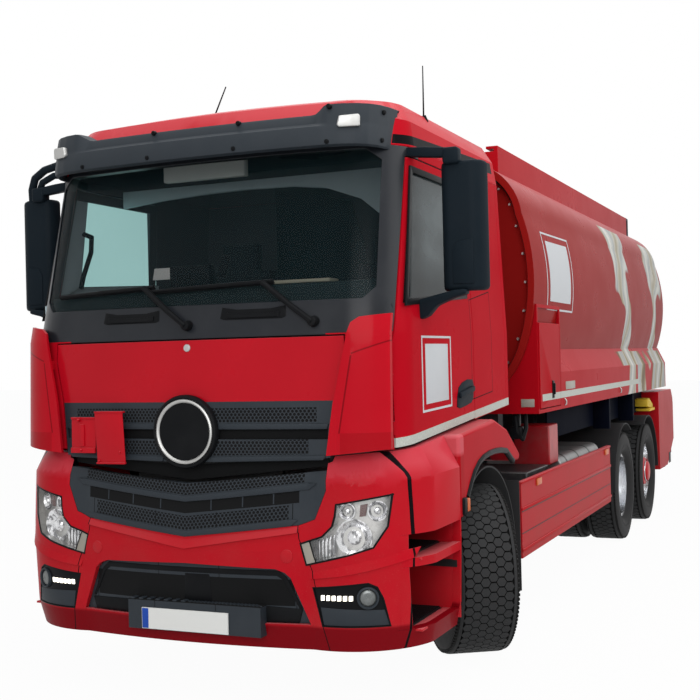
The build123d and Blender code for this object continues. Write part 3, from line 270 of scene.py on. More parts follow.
def cab_seams(finish, x, y, z):
    """Hatch outline on the quarter panel and the black band under the roof's edge."""
    hatch = lined_up(y, z, (1429, 2104), (1852, 2170))
    low = lined_up(y, z, (1429, 1512), (1852, 1545))
    inside = y.between(1429, 1856) * (hatch < 3) * (low > -3)
    core = y.between(1435, 1850) * (hatch < -3) * (low > 3)
    band = (lined_up(y, z, (371, 2896), (2180, 2958)) > 0) * (lined_up(y, z, (371, 2945), (2180, 3030)) < 0)
    rim = band * y.between(300, 2150) + inside * (1 - core)
    return rim * (abs(x) > 1040), (0.004, 0.004, 0.005)


def side_stripe(start, end, width):
    """Reflective band along the flank between two (y, z) points of its lower edge."""
    def mark(finish, x, y, z):
        height = lined_up(y, z, start, end)
        cells = finish.node("ShaderNodeTexVoronoi", {}, {"Vector": finish.point(), "Scale": 0.12})
        shade = finish.node("ShaderNodeMix", {"data_type": "RGBA"}, {
            0: cells.rise(0.2, 0.9), 6: (*SILVER, 1), 7: (0.50, 0.53, 0.49, 1)}, 2)
        return y.between(start[0], end[0]) * height.between(0, width) * (abs(x) > 1030), shade
    return mark


def plastic(name, colour=PLASTIC, roughness=0.55, grain=0.5, dust=0.25, ior=1.3):
    """Moulded plastic with a fine grain and a little dust."""
    finish = Finish(name, colour, roughness, IOR=ior)
    patch = finish.noise(160, 5.0, 0.65)
    finish.blend(patch.rise(0.4, 0.8) * dust, (colour[0] + 0.02, colour[1] + 0.02, colour[2] + 0.02))
    finish.feed("Roughness", patch * 0.2 + (roughness - 0.1))
    finish.grain(8, 0.3, grain * 0.3)
    return finish.material


def metal(name, colour=(0.62, 0.63, 0.65), roughness=0.3, metallic=1.0, stain=(0.3, 0.28, 0.25), stain_share=0.3):
    """Bare or plated metal with stains."""
    finish = Finish(name, colour, roughness, metallic)
    patch = finish.noise(60, 6.0, 0.7)
    finish.blend(patch.rise(0.5, 0.8) * stain_share, stain)
    finish.feed("Roughness", patch * 0.25 + (roughness - 0.08))
    finish.grain(6, 0.2, 0.2)
    return finish.material


def glass(name, tint=(0.02, 0.035, 0.035), alpha=0.3, ior=1.9, rough=0.02):
    """Tinted pane: mostly see-through, with a strong sheen."""
    finish = Finish(name, tint, rough, IOR=ior)
    smear = finish.noise(240, 4.0, 0.6)
    finish.feed("Alpha", smear * 0.03 + (alpha - 0.015))
    finish.material.surface_render_method = "BLENDED"
    return finish.material


def side_pane(name):
    """Dark door glass with pale shapes painted on as a reflection of the sky, fading out towards a darker foot."""
    finish = Finish(name, (0.010, 0.016, 0.018), 0.02, IOR=1.18)
    _, y, z = finish.place()
    # Painted reflection: pale sky shapes laid into the glass's colour
    sky_reflection = finish.noise(520, 3.0, 0.5, (1, 0.8, 1.3)).rise(0.35, 0.7)
    finish.blend(sky_reflection * (z + y * 0.10).rise(2240, 2420) * 0.9, (0.085, 0.105, 0.110))
    finish.feed("Alpha", sky_reflection * 0.06 + 0.86)
    finish.material.surface_render_method = "BLENDED"
    return finish.material


def bright_lining(name):
    """Plated lamp lining with dark facets painted on as reflections."""
    finish = Finish(name, (0.80, 0.80, 0.81), 0.2, 1.0)
    # Painted reflection: dark patches over the bright plating
    facet_reflections = finish.noise(26, 2.0, 0.5, (1, 1, 0.6))
    finish.blend(facet_reflections.rise(0.50, 0.62) * 0.85, (0.10, 0.10, 0.105))
    return finish.material


def rubber(name, centre, radius, turn=0.0):
    """Tyre rubber about an axle: worn tread face, painted shade as a black ring in the grooves, dusty side wall."""
    finish = Finish(name, (0.017, 0.017, 0.018), 0.8, IOR=1.25)
    axle = (math.cos(turn), math.sin(turn), 0)
    reach = finish.vector("SUBTRACT", finish.point(), centre)
    along = finish.vector("DOT_PRODUCT", reach, axle, "Value")
    length = finish.node("ShaderNodeVectorMath", {"operation": "LENGTH"}, [reach], "Value")
    far = (length * length - along * along).math("SQRT")
    patch = finish.noise(70, 6.0, 0.7)
    finish.blend(patch.rise(0.35, 0.8) * 0.4, (0.036, 0.035, 0.033))
    finish.blend(far.rise(radius - 5, radius - 3) * 0.8, (0.030, 0.031, 0.032))
    # Painted shade: a black ring in the grooves, which darkens the shoulder lugs as well
    finish.blend(far.between(radius - 18, radius - 5), (0.004, 0.004, 0.004))
    finish.feed("Roughness", patch * 0.2 + 0.62)
    finish.grain(5, 0.4, 0.5)
    return finish.material


def service_finish(name):
    """Black battery box, red tool box and bare fuel tank in one finish."""
    finish = Finish(name, (0.012, 0.013, 0.015), 0.45)
    _, y, z = finish.place()
    patch = finish.noise(90, 6.0, 0.7)
    tool, fuel = y.between(3270, 3575) * (z > 930), y > 3590
    finish.blend(tool, (0.34, 0.004, 0.010))
    finish.blend(fuel, (0.26, 0.26, 0.26))
    finish.blend(fuel * (y.math("MODULO", 420.0) < 46), (0.012, 0.012, 0.012))
    finish.blend(patch.rise(0.45, 0.8) * 0.4, (0.10, 0.09, 0.08))
    finish.feed("Metallic", fuel * 0.85)
    finish.feed("Roughness", patch * 0.2 + 0.3)
    return finish.material


def glow(name, colour, strength):
    finish = Finish(name, colour, 0.3, Emission_Strength=strength)
    finish.shader.inputs["Emission Color"].default_value = (*colour, 1)
    spots = finish.noise(12, 1.0)
    finish.blend(spots * 0.2, (1, 1, 1))
    return finish.material


def perforated(name, zones, shade_bands=(), seams=(), colour=PLASTIC):
    """Grained plastic with bands of staggered round holes, bands of near-black painted shade for its recesses and gaps,
    and thin upright seams.

    A zone or shade band is its lower and upper height on the middle line, half its width, and the rise of its edges
    per millimetre away from the middle; a seam is its place and its upper end.
    """
    finish = Finish(name, colour, 0.5, IOR=1.3)
    x, _, z = finish.place()
    column, row, hole_radius, seam_half = 22, 16, 7.9, 2.2
    wide = abs(x)

    def within(bands):
        found = 0
        for low, top, half, rise in bands:
            mask = (z - wide * rise).between(low, top) * (wide < half)
            found = found.either(mask) if found else mask
        return found

    lane = (z - wide * zones[0][3]) / row
    across = x / column + lane.math("FLOOR").math("MODULO", 2.0) * 0.5
    dx = (across.math("FRACT") - 0.5) * column
    dz = (lane.math("FRACT") - 0.5) * row
    hole = ((dx * dx + dz * dz).math("SQRT") < hole_radius) * within(zones)
    patch = finish.noise(160, 5.0, 0.65)
    finish.blend(patch.rise(0.4, 0.8) * 0.3, (0.04, 0.046, 0.053))
    # Painted shade: the shade bands are laid on near-black, like the holes
    dark = hole.either(within(shade_bands))
    for place, top in seams:
        dark = dark.either((abs(wide - place) < seam_half) * (z - wide * 0.1 < top))
    finish.blend(dark, (0.0006, 0.0008, 0.0012))
    finish.feed("Roughness", dark * 0.4 + 0.45)
    finish.bump(1 - hole, 2.0, 0.6)
    return finish.material


def wave_art(finish, x, y, z):
    """Pale rolling ribbons over the rear of the tank: the colours of oil and glass, in a plain wave motif."""
    swirl = finish.noise(900, 2.0, 0.45, (0.2, 1.0, 1.0)) - 0.5
    sweep = (y * 0.00336 - 0.34 + swirl * 7.0 + (z - 2290) * 0.0004).math("SINE")
    fine = (y * 0.013 - z * 0.007 + swirl * 16.0).math("SINE")
    tone = (sweep * 0.2 + fine * 0.3 + 0.5).math("MINIMUM", 1.0)
    shade = finish.node("ShaderNodeValToRGB", {"stops": [
        (0.0, (0.09, 0.07, 0.035)), (1.0, (0.60, 0.62, 0.57)), (0.30, (0.24, 0.22, 0.12)),
        (0.52, (0.48, 0.48, 0.41)), (0.72, (0.32, 0.37, 0.37))]}, {0: tone})
    ribbon = sweep.rise(0.55, 0.66) * (y > 5600)
    lower = (y + (z > 1640) * 950 + swirl * 300 > 6700) * (z < 1776) * sweep.rise(-0.9, -0.8)
    return ribbon.either(lower) * (z < 2960) * (abs(x) > 560) * (y < 8538) * 0.92, shade


def painted_crease_light(finish, x, y, z):
    """Painted highlight, paler, on the hollow above the fender's crease; painted shade, a deeper colour, below it."""
    crease = lined_up(y, z, (115, 1172), (936, 1222))
    # Painted shade below the crease
    finish.blend((crease < 0) * (y < 940) * 0.5, (0.30, 0.002, 0.005))
    # Painted highlight along the crease
    return crease.rise(0, 26) * (y < 940) * 0.32, (0.85, 0.24, 0.28)


def air_slot_shade(finish, x, y, z):
    """Slots between the right corner panel and its outer vane, painted dark as the shade inside them."""
    bars = (z + 30).math("MODULO", 165.0) > 26
    return (x < 0) * y.between(232, 300) * z.between(1345, 1850) * bars, (0.003, 0.003, 0.004)


def painted_fold_shade(finish, x, y, z):
    """Painted shade: a dark line along the pressed fold inside a corner panel's edge, and a deeper red foot below it.
    """
    across = abs(x)
    side = lined_up(across, z, (872, 1380), (936, 1770))
    # Painted shade: the foot below the fold in a deeper red
    finish.blend((z < 1402) * (across > 880) * (y < 232) * 0.45, (0.26, 0.002, 0.005))
    crown = lined_up(across, z, (944, 1800), (1120, 1862))
    upright = side.between(-26, 26) * (z < 1790) * (z > 1400)
    level = crown.between(-4, 4) * (across > 940)
    # Painted shade along the fold's lines
    return (upright + level) * (y < 232) * 0.7, (0.12, 0.001, 0.003)


stripe_cab = side_stripe((235, 1314), (2240, 1446), 48)
stripe_trunk = side_stripe((2755, 1440), (6735, 1446), 48)
# Flank paints take a darker red than the front, and the tank a darker, browner red still: painted shade on the flanks,
# and on the tank its dull reflections painted into the colour
RED_CAB = paint("cab_paint", [stripe_cab, cab_seams], lined=True, sheen=0.02, colour=(0.42, 0.004, 0.012))
RED_BODY = paint("body_paint")
RED_CORNER = paint("corner_paint", [air_slot_shade, painted_fold_shade], sheen=0.09)
RED_FENDER = paint("fender_paint", [painted_crease_light], sheen=0.04, colour=(0.40, 0.004, 0.012))
RED_ROOF = paint("roof_paint", [brow, cab_seams], lined=True, sheen=0.05)
RED_BUMPER = paint("bumper_paint", [joints_and_painted_light], sheen=0.07)
STEP_RED = paint("step_paint", [lambda finish, x, y, z: ((abs(x) > 901).either(y > 850), (0.012, 0.012, 0.013))])
RED_SIDE = paint("side_paint", dust=0.5, sheen=0.05, colour=(0.40, 0.004, 0.010))
RED_TRUNK = paint("trunk_paint", [wave_art, stripe_trunk], sheen=0.03, colour=(0.38, 0.004, 0.010))
RED_TANK = paint("tank_paint", [wave_art], dust=0.15, sheen=0.035, colour=(0.27, 0.010, 0.009))
DARK = plastic("grained_dark_plastic")
BLACK = plastic("black_plastic", (0.006, 0.0065, 0.0075), 0.38, 0.25, 0.15, 1.15)
SATIN = plastic("satin_black_panel", (0.012, 0.014, 0.018), 0.32, 0.15)
LINER = plastic("liner_plastic", (0.012, 0.012, 0.013), 0.7, 0.8)
CAB_TRIM = plastic("cab_trim", (0.05, 0.055, 0.06), 0.6, 0.0)
MIRROR_SHELL = plastic("mirror_shell", (0.008, 0.013, 0.018), 0.5, 0.4, 0.1, 1.12)
# Painted light: a pale plate that glows, though it is no lamp, for the sky seen through the far door's window
SKY_GLOW_PLATE = glow("painted_sky_glow", (0.36, 0.62, 0.60), 1.2)
LIGHT_PANEL = plastic("header_panel", (0.80, 0.86, 0.82), 0.7, 0.05)
BAND = plastic("header_band", (0.50, 0.62, 0.66), 0.8, 0.0)
NAVY = plastic("subframe_navy", (0.002, 0.003, 0.008), 0.6, 0.2, 0.1, 1.08)
CURTAIN = plastic("curtain_cloth", (0.010, 0.020, 0.022), 0.9, 0.0)
FABRIC = plastic("seat_cloth", (0.018, 0.022, 0.026), 0.92, 0.0)
BOXES = service_finish("service_box_finish")
CHASSIS = plastic("chassis_paint", (0.035, 0.037, 0.04), 0.5, 0.4, 0.5)
IRON = metal("axle_iron", (0.035, 0.035, 0.037), 0.6, 0.3, (0.10, 0.07, 0.05), 0.5)
ALLOY = metal("polished_alloy", (0.80, 0.81, 0.83), 0.14, 1.0, (0.5, 0.48, 0.45), 0.25)
ALUMINIUM = metal("mill_aluminium", (0.60, 0.61, 0.62), 0.38)
STEEL = metal("zinc_steel", (0.45, 0.45, 0.44), 0.42)
SCREEN = glass("screen_glass", (0.006, 0.015, 0.018), 0.25, 1.22, 0.16)
SIDE_GLASS = side_pane("side_glass")
LAMP_BRIGHT = bright_lining("lamp_bright")
FOG_GLASS = metal("fog_glass", (0.15, 0.16, 0.16), 0.25, 0.6, (0.02, 0.02, 0.02), 0.8)
BROWN = plastic("lamp_brown", (0.10, 0.022, 0.012), 0.4, 0.0, 0.1)
LENS = glass("lamp_lens", (0.55, 0.56, 0.58), 0.10)
LAMP_GREY = plastic("lamp_grey", (0.30, 0.28, 0.24), 0.4, 0.1, 0.1)
LAMP_SILVER = metal("lamp_silver", (0.56, 0.55, 0.53), 0.3, 0.8, (0.16, 0.15, 0.14), 0.7)
MIRROR_GLASS = metal("mirror_glass", (0.9, 0.92, 0.94), 0.03, 1.0, (0.8, 0.82, 0.84), 0.05)
AMBER = Finish("amber_lens", (0.48, 0.09, 0.008), 0.45, Coat_Weight=0.05).material
RED_LENS = Finish("red_lens", (0.30, 0.006, 0.008), 0.3, Coat_Weight=0.2).material
SIGN = plastic("sign_white", (0.50, 0.52, 0.54), 0.45, 0.1, 0.05)
WHITE = plastic("plate_white", (0.72, 0.73, 0.71), 0.4, 0.1, 0.05)
BLUE = plastic("plate_blue", (0.01, 0.06, 0.36), 0.4, 0.1, 0.05)
YELLOW = plastic("yellow_plastic", (0.62, 0.42, 0.03), 0.5, 0.3)
CREAM = plastic("paper_cream", (0.52, 0.50, 0.38), 0.8, 0.2)
GLOW = glow("daylight_leds", (1.0, 0.94, 0.80), 2.4)
HOLES_UPPER = perforated("upper_grille", [(1457, 1531, 735, 0.0), (1281, 1356, 690, 0.018)],
                         [(1368, 1419, 785, 0.0), (1200, 1248, 900, 0.02)])
HOLES_LOWER = perforated("lower_grille", [(1078, 1137, 665, 0.110), (897, 968, 585, 0.115)],
                         [(983, 1043, 640, 0.102), (519, 655, 600, 0.0), (1141, 1300, 900, 0.09)],
                         [(184, 975), (606, 983)])


# ---- shaping: every form is a bmesh in millimetres from the nose

def cuboid(x, y, z, edge=0.0, rounds=2):
    """Box between two values on each axis, its edges rounded."""
    form = bmesh.new()
    size = Matrix.Diagonal((x[1] - x[0], y[1] - y[0], z[1] - z[0], 1))
    middle = Matrix.Translation(((x[0] + x[1]) / 2, (y[0] + y[1]) / 2, (z[0] + z[1]) / 2))
    bmesh.ops.create_cube(form, size=1, matrix=middle @ size)
    if edge:
        soften(form, edge, rounds)
    return form


def boxes(edge, *spans, rounds=2):
    """Boxes in one form, each from its values on the three axes."""
    return join(bmesh.new(), *[cuboid((a, b), (c, d), (e, f), edge, rounds) for a, b, c, d, e, f in spans])


def soften(form, edge, rounds=2, sharper=25):
    """Round the edges whose faces turn by more than a few degrees."""
    sharp = [e for e in form.edges if len(e.link_faces) == 2 and e.calc_face_angle() > math.radians(sharper)]
    bmesh.ops.bevel(form, geom=sharp, offset=edge, offset_type="OFFSET", segments=rounds, profile=0.5,
                    affect="EDGES", clamp_overlap=True, material=-1)


def slab(outline, axis, span, edge=0.0, rounds=2):
    """Closed outline in the two other axes, pushed from one value of an axis to another."""
    form = bmesh.new()
    spots = []
    for a, b in outline:
        spot = {"x": (span[0], a, b), "y": (a, span[0], b), "z": (a, b, span[0])}[axis]
        spots.append(form.verts.new(spot))
    face = form.faces.new(spots)
    pushed = bmesh.ops.extrude_face_region(form, geom=[face])
    step = Vector([span[1] - span[0] if axis == name else 0 for name in "xyz"])
    bmesh.ops.translate(form, vec=step, verts=[v for v in pushed["geom"] if isinstance(v, bmesh.types.BMVert)])
    bmesh.ops.recalc_face_normals(form, faces=form.faces)
    if edge:
        soften(form, edge, rounds)
    return form


def bar(start, end, radius, tip=None, sides=16, edge=0.0):
    """Round bar or cone between two points."""
    form = bmesh.new()
    start, end = Vector(start), Vector(end)
    run = end - start
    turn = run.to_track_quat("Z", "Y").to_matrix().to_4x4()
    bmesh.ops.create_cone(form, cap_ends=True, segments=sides, radius1=radius,
                          radius2=radius if tip is None else tip, depth=run.length,
                          matrix=Matrix.Translation((start + end) / 2) @ turn)
    if edge:
        soften(form, edge, 2, 60)
    return form


def pipe(points, radius, sides=10):
    """Bent bar through several points, with balls at its bends."""
    form = bmesh.new()
    for start, end in zip(points, points[1:]):
        join(form, bar(start, end, radius, sides=sides))
    for point in points[1:-1]:
        bmesh.ops.create_icosphere(form, subdivisions=2, radius=radius * 1.01, matrix=Matrix.Translation(point))
    return form


def turned(profile, centre=(0, 0, 0), axis="X", steps=48):
    """Body of revolution from a closed (place along the axis, radius) profile."""
    form = bmesh.new()
    ring = [form.verts.new((a, r, 0)) for a, r in profile]
    edges = [form.edges.new((a, b)) for a, b in zip(ring, ring[1:] + ring[:1])]
    bmesh.ops.spin(form, geom=ring + edges, cent=(0, 0, 0), axis=(1, 0, 0), angle=math.tau, steps=steps,
                   use_merge=True, use_duplicate=False)
    bmesh.ops.remove_doubles(form, verts=form.verts, dist=0.01)
    bmesh.ops.recalc_face_normals(form, faces=form.faces)
    if axis != "X":
        onto = Matrix.Rotation(math.pi / 2, 3, "Z") if axis == "Y" else Matrix.Rotation(-math.pi / 2, 3, "Y")
        bmesh.ops.rotate(form, cent=(0, 0, 0), matrix=onto, verts=form.verts)
    bmesh.ops.translate(form, vec=centre, verts=form.verts)
    return form


def cut_across(form, point, normal, **clear):
    """Cut a form with a plane."""
    bmesh.ops.bisect_plane(form, geom=form.verts[:] + form.edges[:] + form.faces[:], dist=0.01,
                           plane_co=point, plane_no=normal, **clear)


def join(form, *others):
    """Add other forms to a form."""
    for other in others:
        scrap = bpy.data.meshes.new("scrap")
        other.to_mesh(scrap)
        form.from_mesh(scrap)
        bpy.data.meshes.remove(scrap)
        other.free()
    return form


def moved(form, matrix):
    bmesh.ops.transform(form, matrix=matrix, verts=form.verts)
    if matrix.determinant() < 0:
        bmesh.ops.reverse_faces(form, faces=form.faces)
    return form


def twin(form):
    """The form and its mirror image on the other side of the truck."""
    other = form.copy()
    return join(form, moved(other, Matrix.Diagonal((-1, 1, 1, 1))))


def about(point, angle, axis="Z"):
    """Turn about an axis through a point."""
    return Matrix.Translation(point) @ Matrix.Rotation(angle, 4, axis) @ Matrix.Translation(-Vector(point))


def piece(name, form, material, body="chassis", stands_for=(), sharp=32):
    """Finish a form as an object in the frame, riding on a body."""
    bmesh.ops.transform(form, matrix=TO_FRAME, verts=form.verts)
    mesh = bpy.data.meshes.new(name)
    form.to_mesh(mesh)
    form.free()
    mesh.polygons.foreach_set("use_smooth", [True] * len(mesh.polygons))
    mesh.set_sharp_from_angle(angle=math.radians(sharp))
    mesh.materials.append(material)
    made = bpy.data.objects.new(name, mesh)
    bpy.context.scene.collection.objects.link(made)
    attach(made, body)
    if stands_for:
        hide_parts(*stands_for)
    return made


BODY_OF = {node: body for body, nodes in frame["record"]["behaviour"]["bodies"].items() for node in nodes}


def dress(node, material, edge=4.0, sharp=28):
    """Stand a merged copy of a node in for it, with smooth shading and slightly rounded edges."""
    form = bmesh.new()
    form.from_mesh(frame["nodes"][node].data)
    bmesh.ops.remove_doubles(form, verts=form.verts, dist=0.00002)
    bmesh.ops.dissolve_limit(form, angle_limit=math.radians(0.6), verts=form.verts, edges=form.edges)
    bmesh.ops.transform(form, matrix=TO_FRAME.inverted(), verts=form.verts)
    made = piece(node + "_skin", form, material, BODY_OF[node], [node], sharp)
    if edge:
        rounding = made.modifiers.new("rounding", "BEVEL")
        rounding.width = edge / 1000
        rounding.segments = 2
        rounding.limit_method = "ANGLE"
        rounding.angle_limit = math.radians(34)
        rounding.use_clamp_overlap = True
        rounding.harden_normals = False
    return made


def coat(node, material):
    """Give a node that stays as it is a finish."""
    mesh = frame["nodes"][node].data
    mesh.materials.clear()
    mesh.materials.append(material)


# ---- nodes that keep their shape
for node, material in {
    "frame_rails": CHASSIS, "engine": IRON, "radiator": IRON, "front_axle": IRON, "rear_axles": IRON,
    "knuckle_left": IRON, "knuckle_right": IRON, "tank_bearers": CHASSIS, "rear_bumper": CHASSIS,
    "windscreen": SCREEN, "door_glass_left": SIDE_GLASS, "door_glass_right": SIDE_GLASS,
    "number_plate": WHITE, "seats": FABRIC, "headlamps": LENS,
}.items():
    coat(node, material)

# ---- nodes that are shown with rounded edges
for node, material, edge in [
    ("cab_roof", RED_ROOF, 5), ("cab_rear_wall", RED_CAB, 3), ("cab_side_panels", RED_CAB, 3),
    ("windscreen_frame", SATIN, 3), ("corner_panels", RED_CORNER, 4), ("flap_panel", RED_BODY, 4),
    ("flap_grille", HOLES_UPPER, 4), ("bumper", RED_BUMPER, 5), ("bumper_grilles", HOLES_LOWER, 4),
    ("front_fenders", RED_FENDER, 20), ("cab_steps", STEP_RED, 3), ("door_left", RED_CAB, 3),
    ("door_right", RED_CAB, 3), ("cab_floor", CAB_TRIM, 4), ("dashboard", CAB_TRIM, 18),
    ("steering_wheel", BLACK, 0), ("tank_shell", RED_TANK, 3), ("tank_coaming", RED_SIDE, 3),
    ("side_trunks", RED_TRUNK, 5), ("locker_door_left", RED_TRUNK, 4), ("locker_door_right", RED_TRUNK, 4),
    ("side_skirts", RED_SIDE, 3), ("rear_mudguards", LINER, 4), ("rear_cabinet", RED_SIDE, 5),
    ("rear_door", RED_SIDE, 4), ("service_boxes", BOXES, 10), ("rear_ladder", ALUMINIUM, 0),
    ("manlid_1", ALUMINIUM, 3), ("manlid_2", ALUMINIUM, 3), ("manlid_3", ALUMINIUM, 3),
]:
    dress(node, material, edge)


# ---- front surfaces: height, half width, nose, end of the bow, its setback, setback of the straight side
CAB_ROWS = [(1120, 1150, 62, 840, 58, 360), (1905, 1150, 95, 850, 58, 350), (2890, 1105, 308, 800, 60, 340),
            (3040, 1080, 335, 780, 60, 330)]
BUMPER_ROWS = [(300, 1205, 70, 690, 55, 400), (430, 1235, 34, 690, 58, 420), (800, 1245, 18, 690, 60, 420),
               (1165, 1243, 52, 720, 61, 410), (1340, 1153, 128, 740, 62, 350)]


def row_at(rows, key):
    """Values of a table for a key that may fall between two of its rows."""
    low, high = next((pair for pair in zip(rows, rows[1:]) if key <= pair[1][0]), (rows[-2], rows[-1]))
    share = (key - low[0]) / (high[0] - low[0])
    return [a + (b - a) * share for a, b in zip(low[1:], high[1:])]


def circle_middle(a, b, c):
    """Centre of the circle through three points."""
    b, c = b - a, c - a
    turn = 2 * (b.x * c.y - b.y * c.x)
    return a + Vector((c.y * b.length_squared - b.y * c.length_squared,
                       b.x * c.length_squared - c.x * b.length_squared)) / turn


def nose_at(rows, x, z):
    """Y of a bowed front with round corners, given by its sections."""
    half, nose, bow_x, back, side_back = row_at(rows, z)
    far = min(abs(x), half - 1)
    if far <= bow_x:
        radius = (bow_x ** 2 + back ** 2) / (2 * back)
        return nose + radius - math.sqrt(radius ** 2 - far ** 2)
    bow, side = Vector((bow_x, nose + back)), Vector((half, nose + side_back))
    centre = circle_middle(bow, Vector((half, bow.y)).lerp((bow + side) / 2, 0.586), side)
    return centre.y - math.sqrt(max((bow - centre).length_squared - (far - centre.x) ** 2, 0))


def on_cab(x, z, lift=0.0):
    return Vector((x, nose_at(CAB_ROWS, x, z) - lift, z))


def on_bumper(x, z, lift=0.0):
    return Vector((x, nose_at(BUMPER_ROWS, x, z) - lift, z))


def draped(outline, rows, depth, thick, edge=0.0, step=40):
    """Closed (x, z) outline laid on a front surface at a depth, which may be a function of x and z."""
    form = slab(outline, "y", (0, 1))
    reach = [a for a, _ in outline]
    for x in range(int(min(reach) // step + 1) * step, int(max(reach)), step):
        cut_across(form, (x, 0, 0), (1, 0, 0))
    for spot in form.verts:
        sunk = depth(spot.co.x, spot.co.z) if callable(depth) else depth
        back = spot.co.y > 0.5
        spot.co.y = nose_at(rows, spot.co.x, spot.co.z) + (sunk if not back or not callable(depth) else 2)
        spot.co.y += thick if back else 0
    if edge:
        soften(form, edge, 2, 40)
    return form


def on_nose(outline, depth, thick, edge=0.0, step=40):
    """A closed (x, z) outline laid on the bumper."""
    return draped(outline, BUMPER_ROWS, depth, thick, edge, step)


# ---- sun visor: lower blade across the screen, upper blade set back between two raised ends
# place across the truck and setback of the visor's skin, as it turns back round the cab's corners
VISOR_PLAN = [(0, 0), (200, 3), (400, 11), (600, 24), (760, 40), (860, 62), (930, 95), (980, 140), (1012, 200),
              (1032, 280), (1044, 380)]
# height, depth at the middle of the truck: front skin from the lip up and over the top
VISOR_SKIN = [(2862, 178), (2872, 154), (2898, 150), (2962, 164), (2972, 168), (2980, 190), (2992, 204),
              (3030, 216), (3042, 226), (3046, 252), (3048, 330)]


def visor_plan(share):
    """Place and setback a share of the way from the middle to the end."""
    steps = [(count, *row) for count, row in enumerate(VISOR_PLAN)]
    x, back = row_at(steps, abs(share) * (len(VISOR_PLAN) - 1))
    return math.copysign(x, share), back


def visor_form():
    form = bmesh.new()
    columns, rows = 120, len(VISOR_SKIN) - 1
    bmesh.ops.create_grid(form, x_segments=columns, y_segments=rows, size=0.5)
    for spot in form.verts:
        x, back = visor_plan(spot.co.x * 2)
        z, depth = VISOR_SKIN[round((spot.co.y + 0.5) * rows)]
        raised = min(max((abs(x) - 690) / 100, 0.0), 1.0)
        raised = raised * raised * (3 - 2 * raised)
        if 2975 < z < 3035:
            depth -= raised * (depth - 168) * 0.85
        if z > 3035:
            z += raised * 44
            depth -= raised * 34
        inward = max(depth - 240, 0) * back / 380
        spot.co = (x - math.copysign(inward, x), depth + back - inward * 0.7, z)
    bmesh.ops.recalc_face_normals(form, faces=form.faces)
    if sum(face.normal.y for face in form.faces) > 0:
        bmesh.ops.reverse_faces(form, faces=form.faces)
    bmesh.ops.solidify(form, geom=form.faces[:], thickness=12)
    return form


piece("visor_blades", visor_form(), DARK, stands_for=["sun_visor"], sharp=24)


def visor_spot(x, z, lift=0.0):
    """Point on the visor's skin."""
    back = row_at(VISOR_PLAN, abs(x))[0]
    depth = 156 if z < 2970 else (170 if abs(x) > 780 else 212)
    return Vector((x, depth + back - lift, z))


bolts = bmesh.new()
for x, z in [(-712, 2886), (-264, 2892), (270, 2892), (791, 2886), (-1020, 2900), (1020, 2900),
             (-775, 3070), (-256, 3036), (271, 3036), (800, 3070), (1024, 3050), (-1024, 3050)]:
    spot = visor_spot(x, z)
    turn = about(spot, math.radians(62) * math.copysign(1, x)) if abs(x) > 1000 else Matrix.Identity(4)
    bolt = bar(spot + Vector((0, 12, 0)), spot + Vector((0, -9, 1)), 15, 12, 16, 2)
    join(bolt, bar(spot + Vector((0, -6, 1)), spot + Vector((0, -13, 1)), 8, 8, 6))
    join(bolts, moved(bolt, turn))
piece("visor_bolts", bolts, BLACK)
roof_lamps = bmesh.new()
for side in (1, -1):
    lamp = slab([(-60, -20), (-48, 26), (54, 34), (62, 22), (60, -30), (-50, -34)], "y", (-16, 14), 9, 3)
    join(roof_lamps, moved(lamp, Matrix.Translation(visor_spot(side * 896, 2990, 6))
                           @ Matrix.Rotation(side * 0.42, 4, "Z") @ Matrix.Diagonal((side, 1, 1, 1))))
piece("roof_marker_lamps", roof_lamps, STEEL)

# ---- wipers and grab recesses below the screen
wipers = bmesh.new()
for pivot_x, elbow_x, tip_x in [(0, -280, -880), (720, 435, -250)]:
    pivot = on_cab(pivot_x, 1968, 8)
    elbow = on_cab(elbow_x, 2182, 40)
    tip = on_cab(tip_x, 2160, 30)
    near = on_cab(elbow_x + 60, 2186, 32)
    join(wipers, bar(pivot + Vector((0, 14, 0)), pivot - Vector((0, 34, 0)), 30, 24, 24, 4))
    join(wipers, pipe([pivot - Vector((0, 26, 0)), pivot.lerp(elbow, 0.35) - Vector((0, 30, 0)), elbow], 16))
    join(wipers, pipe([elbow, elbow.lerp(tip, 0.5) - Vector((0, 16, 0))], 10))
    join(wipers, pipe([tip, tip.lerp(near, 0.5) - Vector((0, 10, 0)), near], 9))
    join(wipers, bar(tip + Vector((0, 8, -8)), near + Vector((0, 8, -10)), 9, sides=6))
piece("wipers", wipers, BLACK)
recesses = bmesh.new()
for middle in (-372, 378):
    outline = [(-188, -26), (-162, -34), (162, -34), (188, -24), (182, 34), (96, 20), (-96, 20), (-180, 34)]
    join(recesses, draped([(middle + a, 2024 + b) for a, b in outline], CAB_ROWS, -2, 8, 3))
    inner = [(-150, -22), (150, -22), (150, 8), (90, 2), (-90, 2), (-150, 8)]
    join(recesses, draped([(middle + a, 2020 + b) for a, b in inner], CAB_ROWS, -9, 10, 4))
piece("screen_grab_recesses", recesses, BLACK)

# ---- placard holder: two folded red plates on the grille's right
placard = slab([(-714, 1293), (-558, 1293), (-550, 1484), (-712, 1488)], "y", (36, 41), 2)
join(placard, slab([(-536, 1235), (-356, 1238), (-371, 1520), (-551, 1520)], "y", (22, 27), 2))
join(placard, boxes(2, (-714, -556, 30, 52, 1478, 1488), (-551, -371, 18, 50, 1511, 1520),
                    (-714, -556, 26, 42, 1293, 1322), (-540, -358, 16, 34, 1236, 1246),
                    *[(x - 14, x + 14, 27, 84, z - 60, z + 60) for x, z in ((-640, 1390), (-520, 1380), (-450, 1380))]))
for x, z in [(-660, 1472), (-645, 1308), (-525, 1250), (-390, 1300)]:
    join(placard, bar((x, 14, z), (x, 34, z), 7, 7, 12, 2))
piece("placard_holder", placard, RED_BODY, "front_flap")

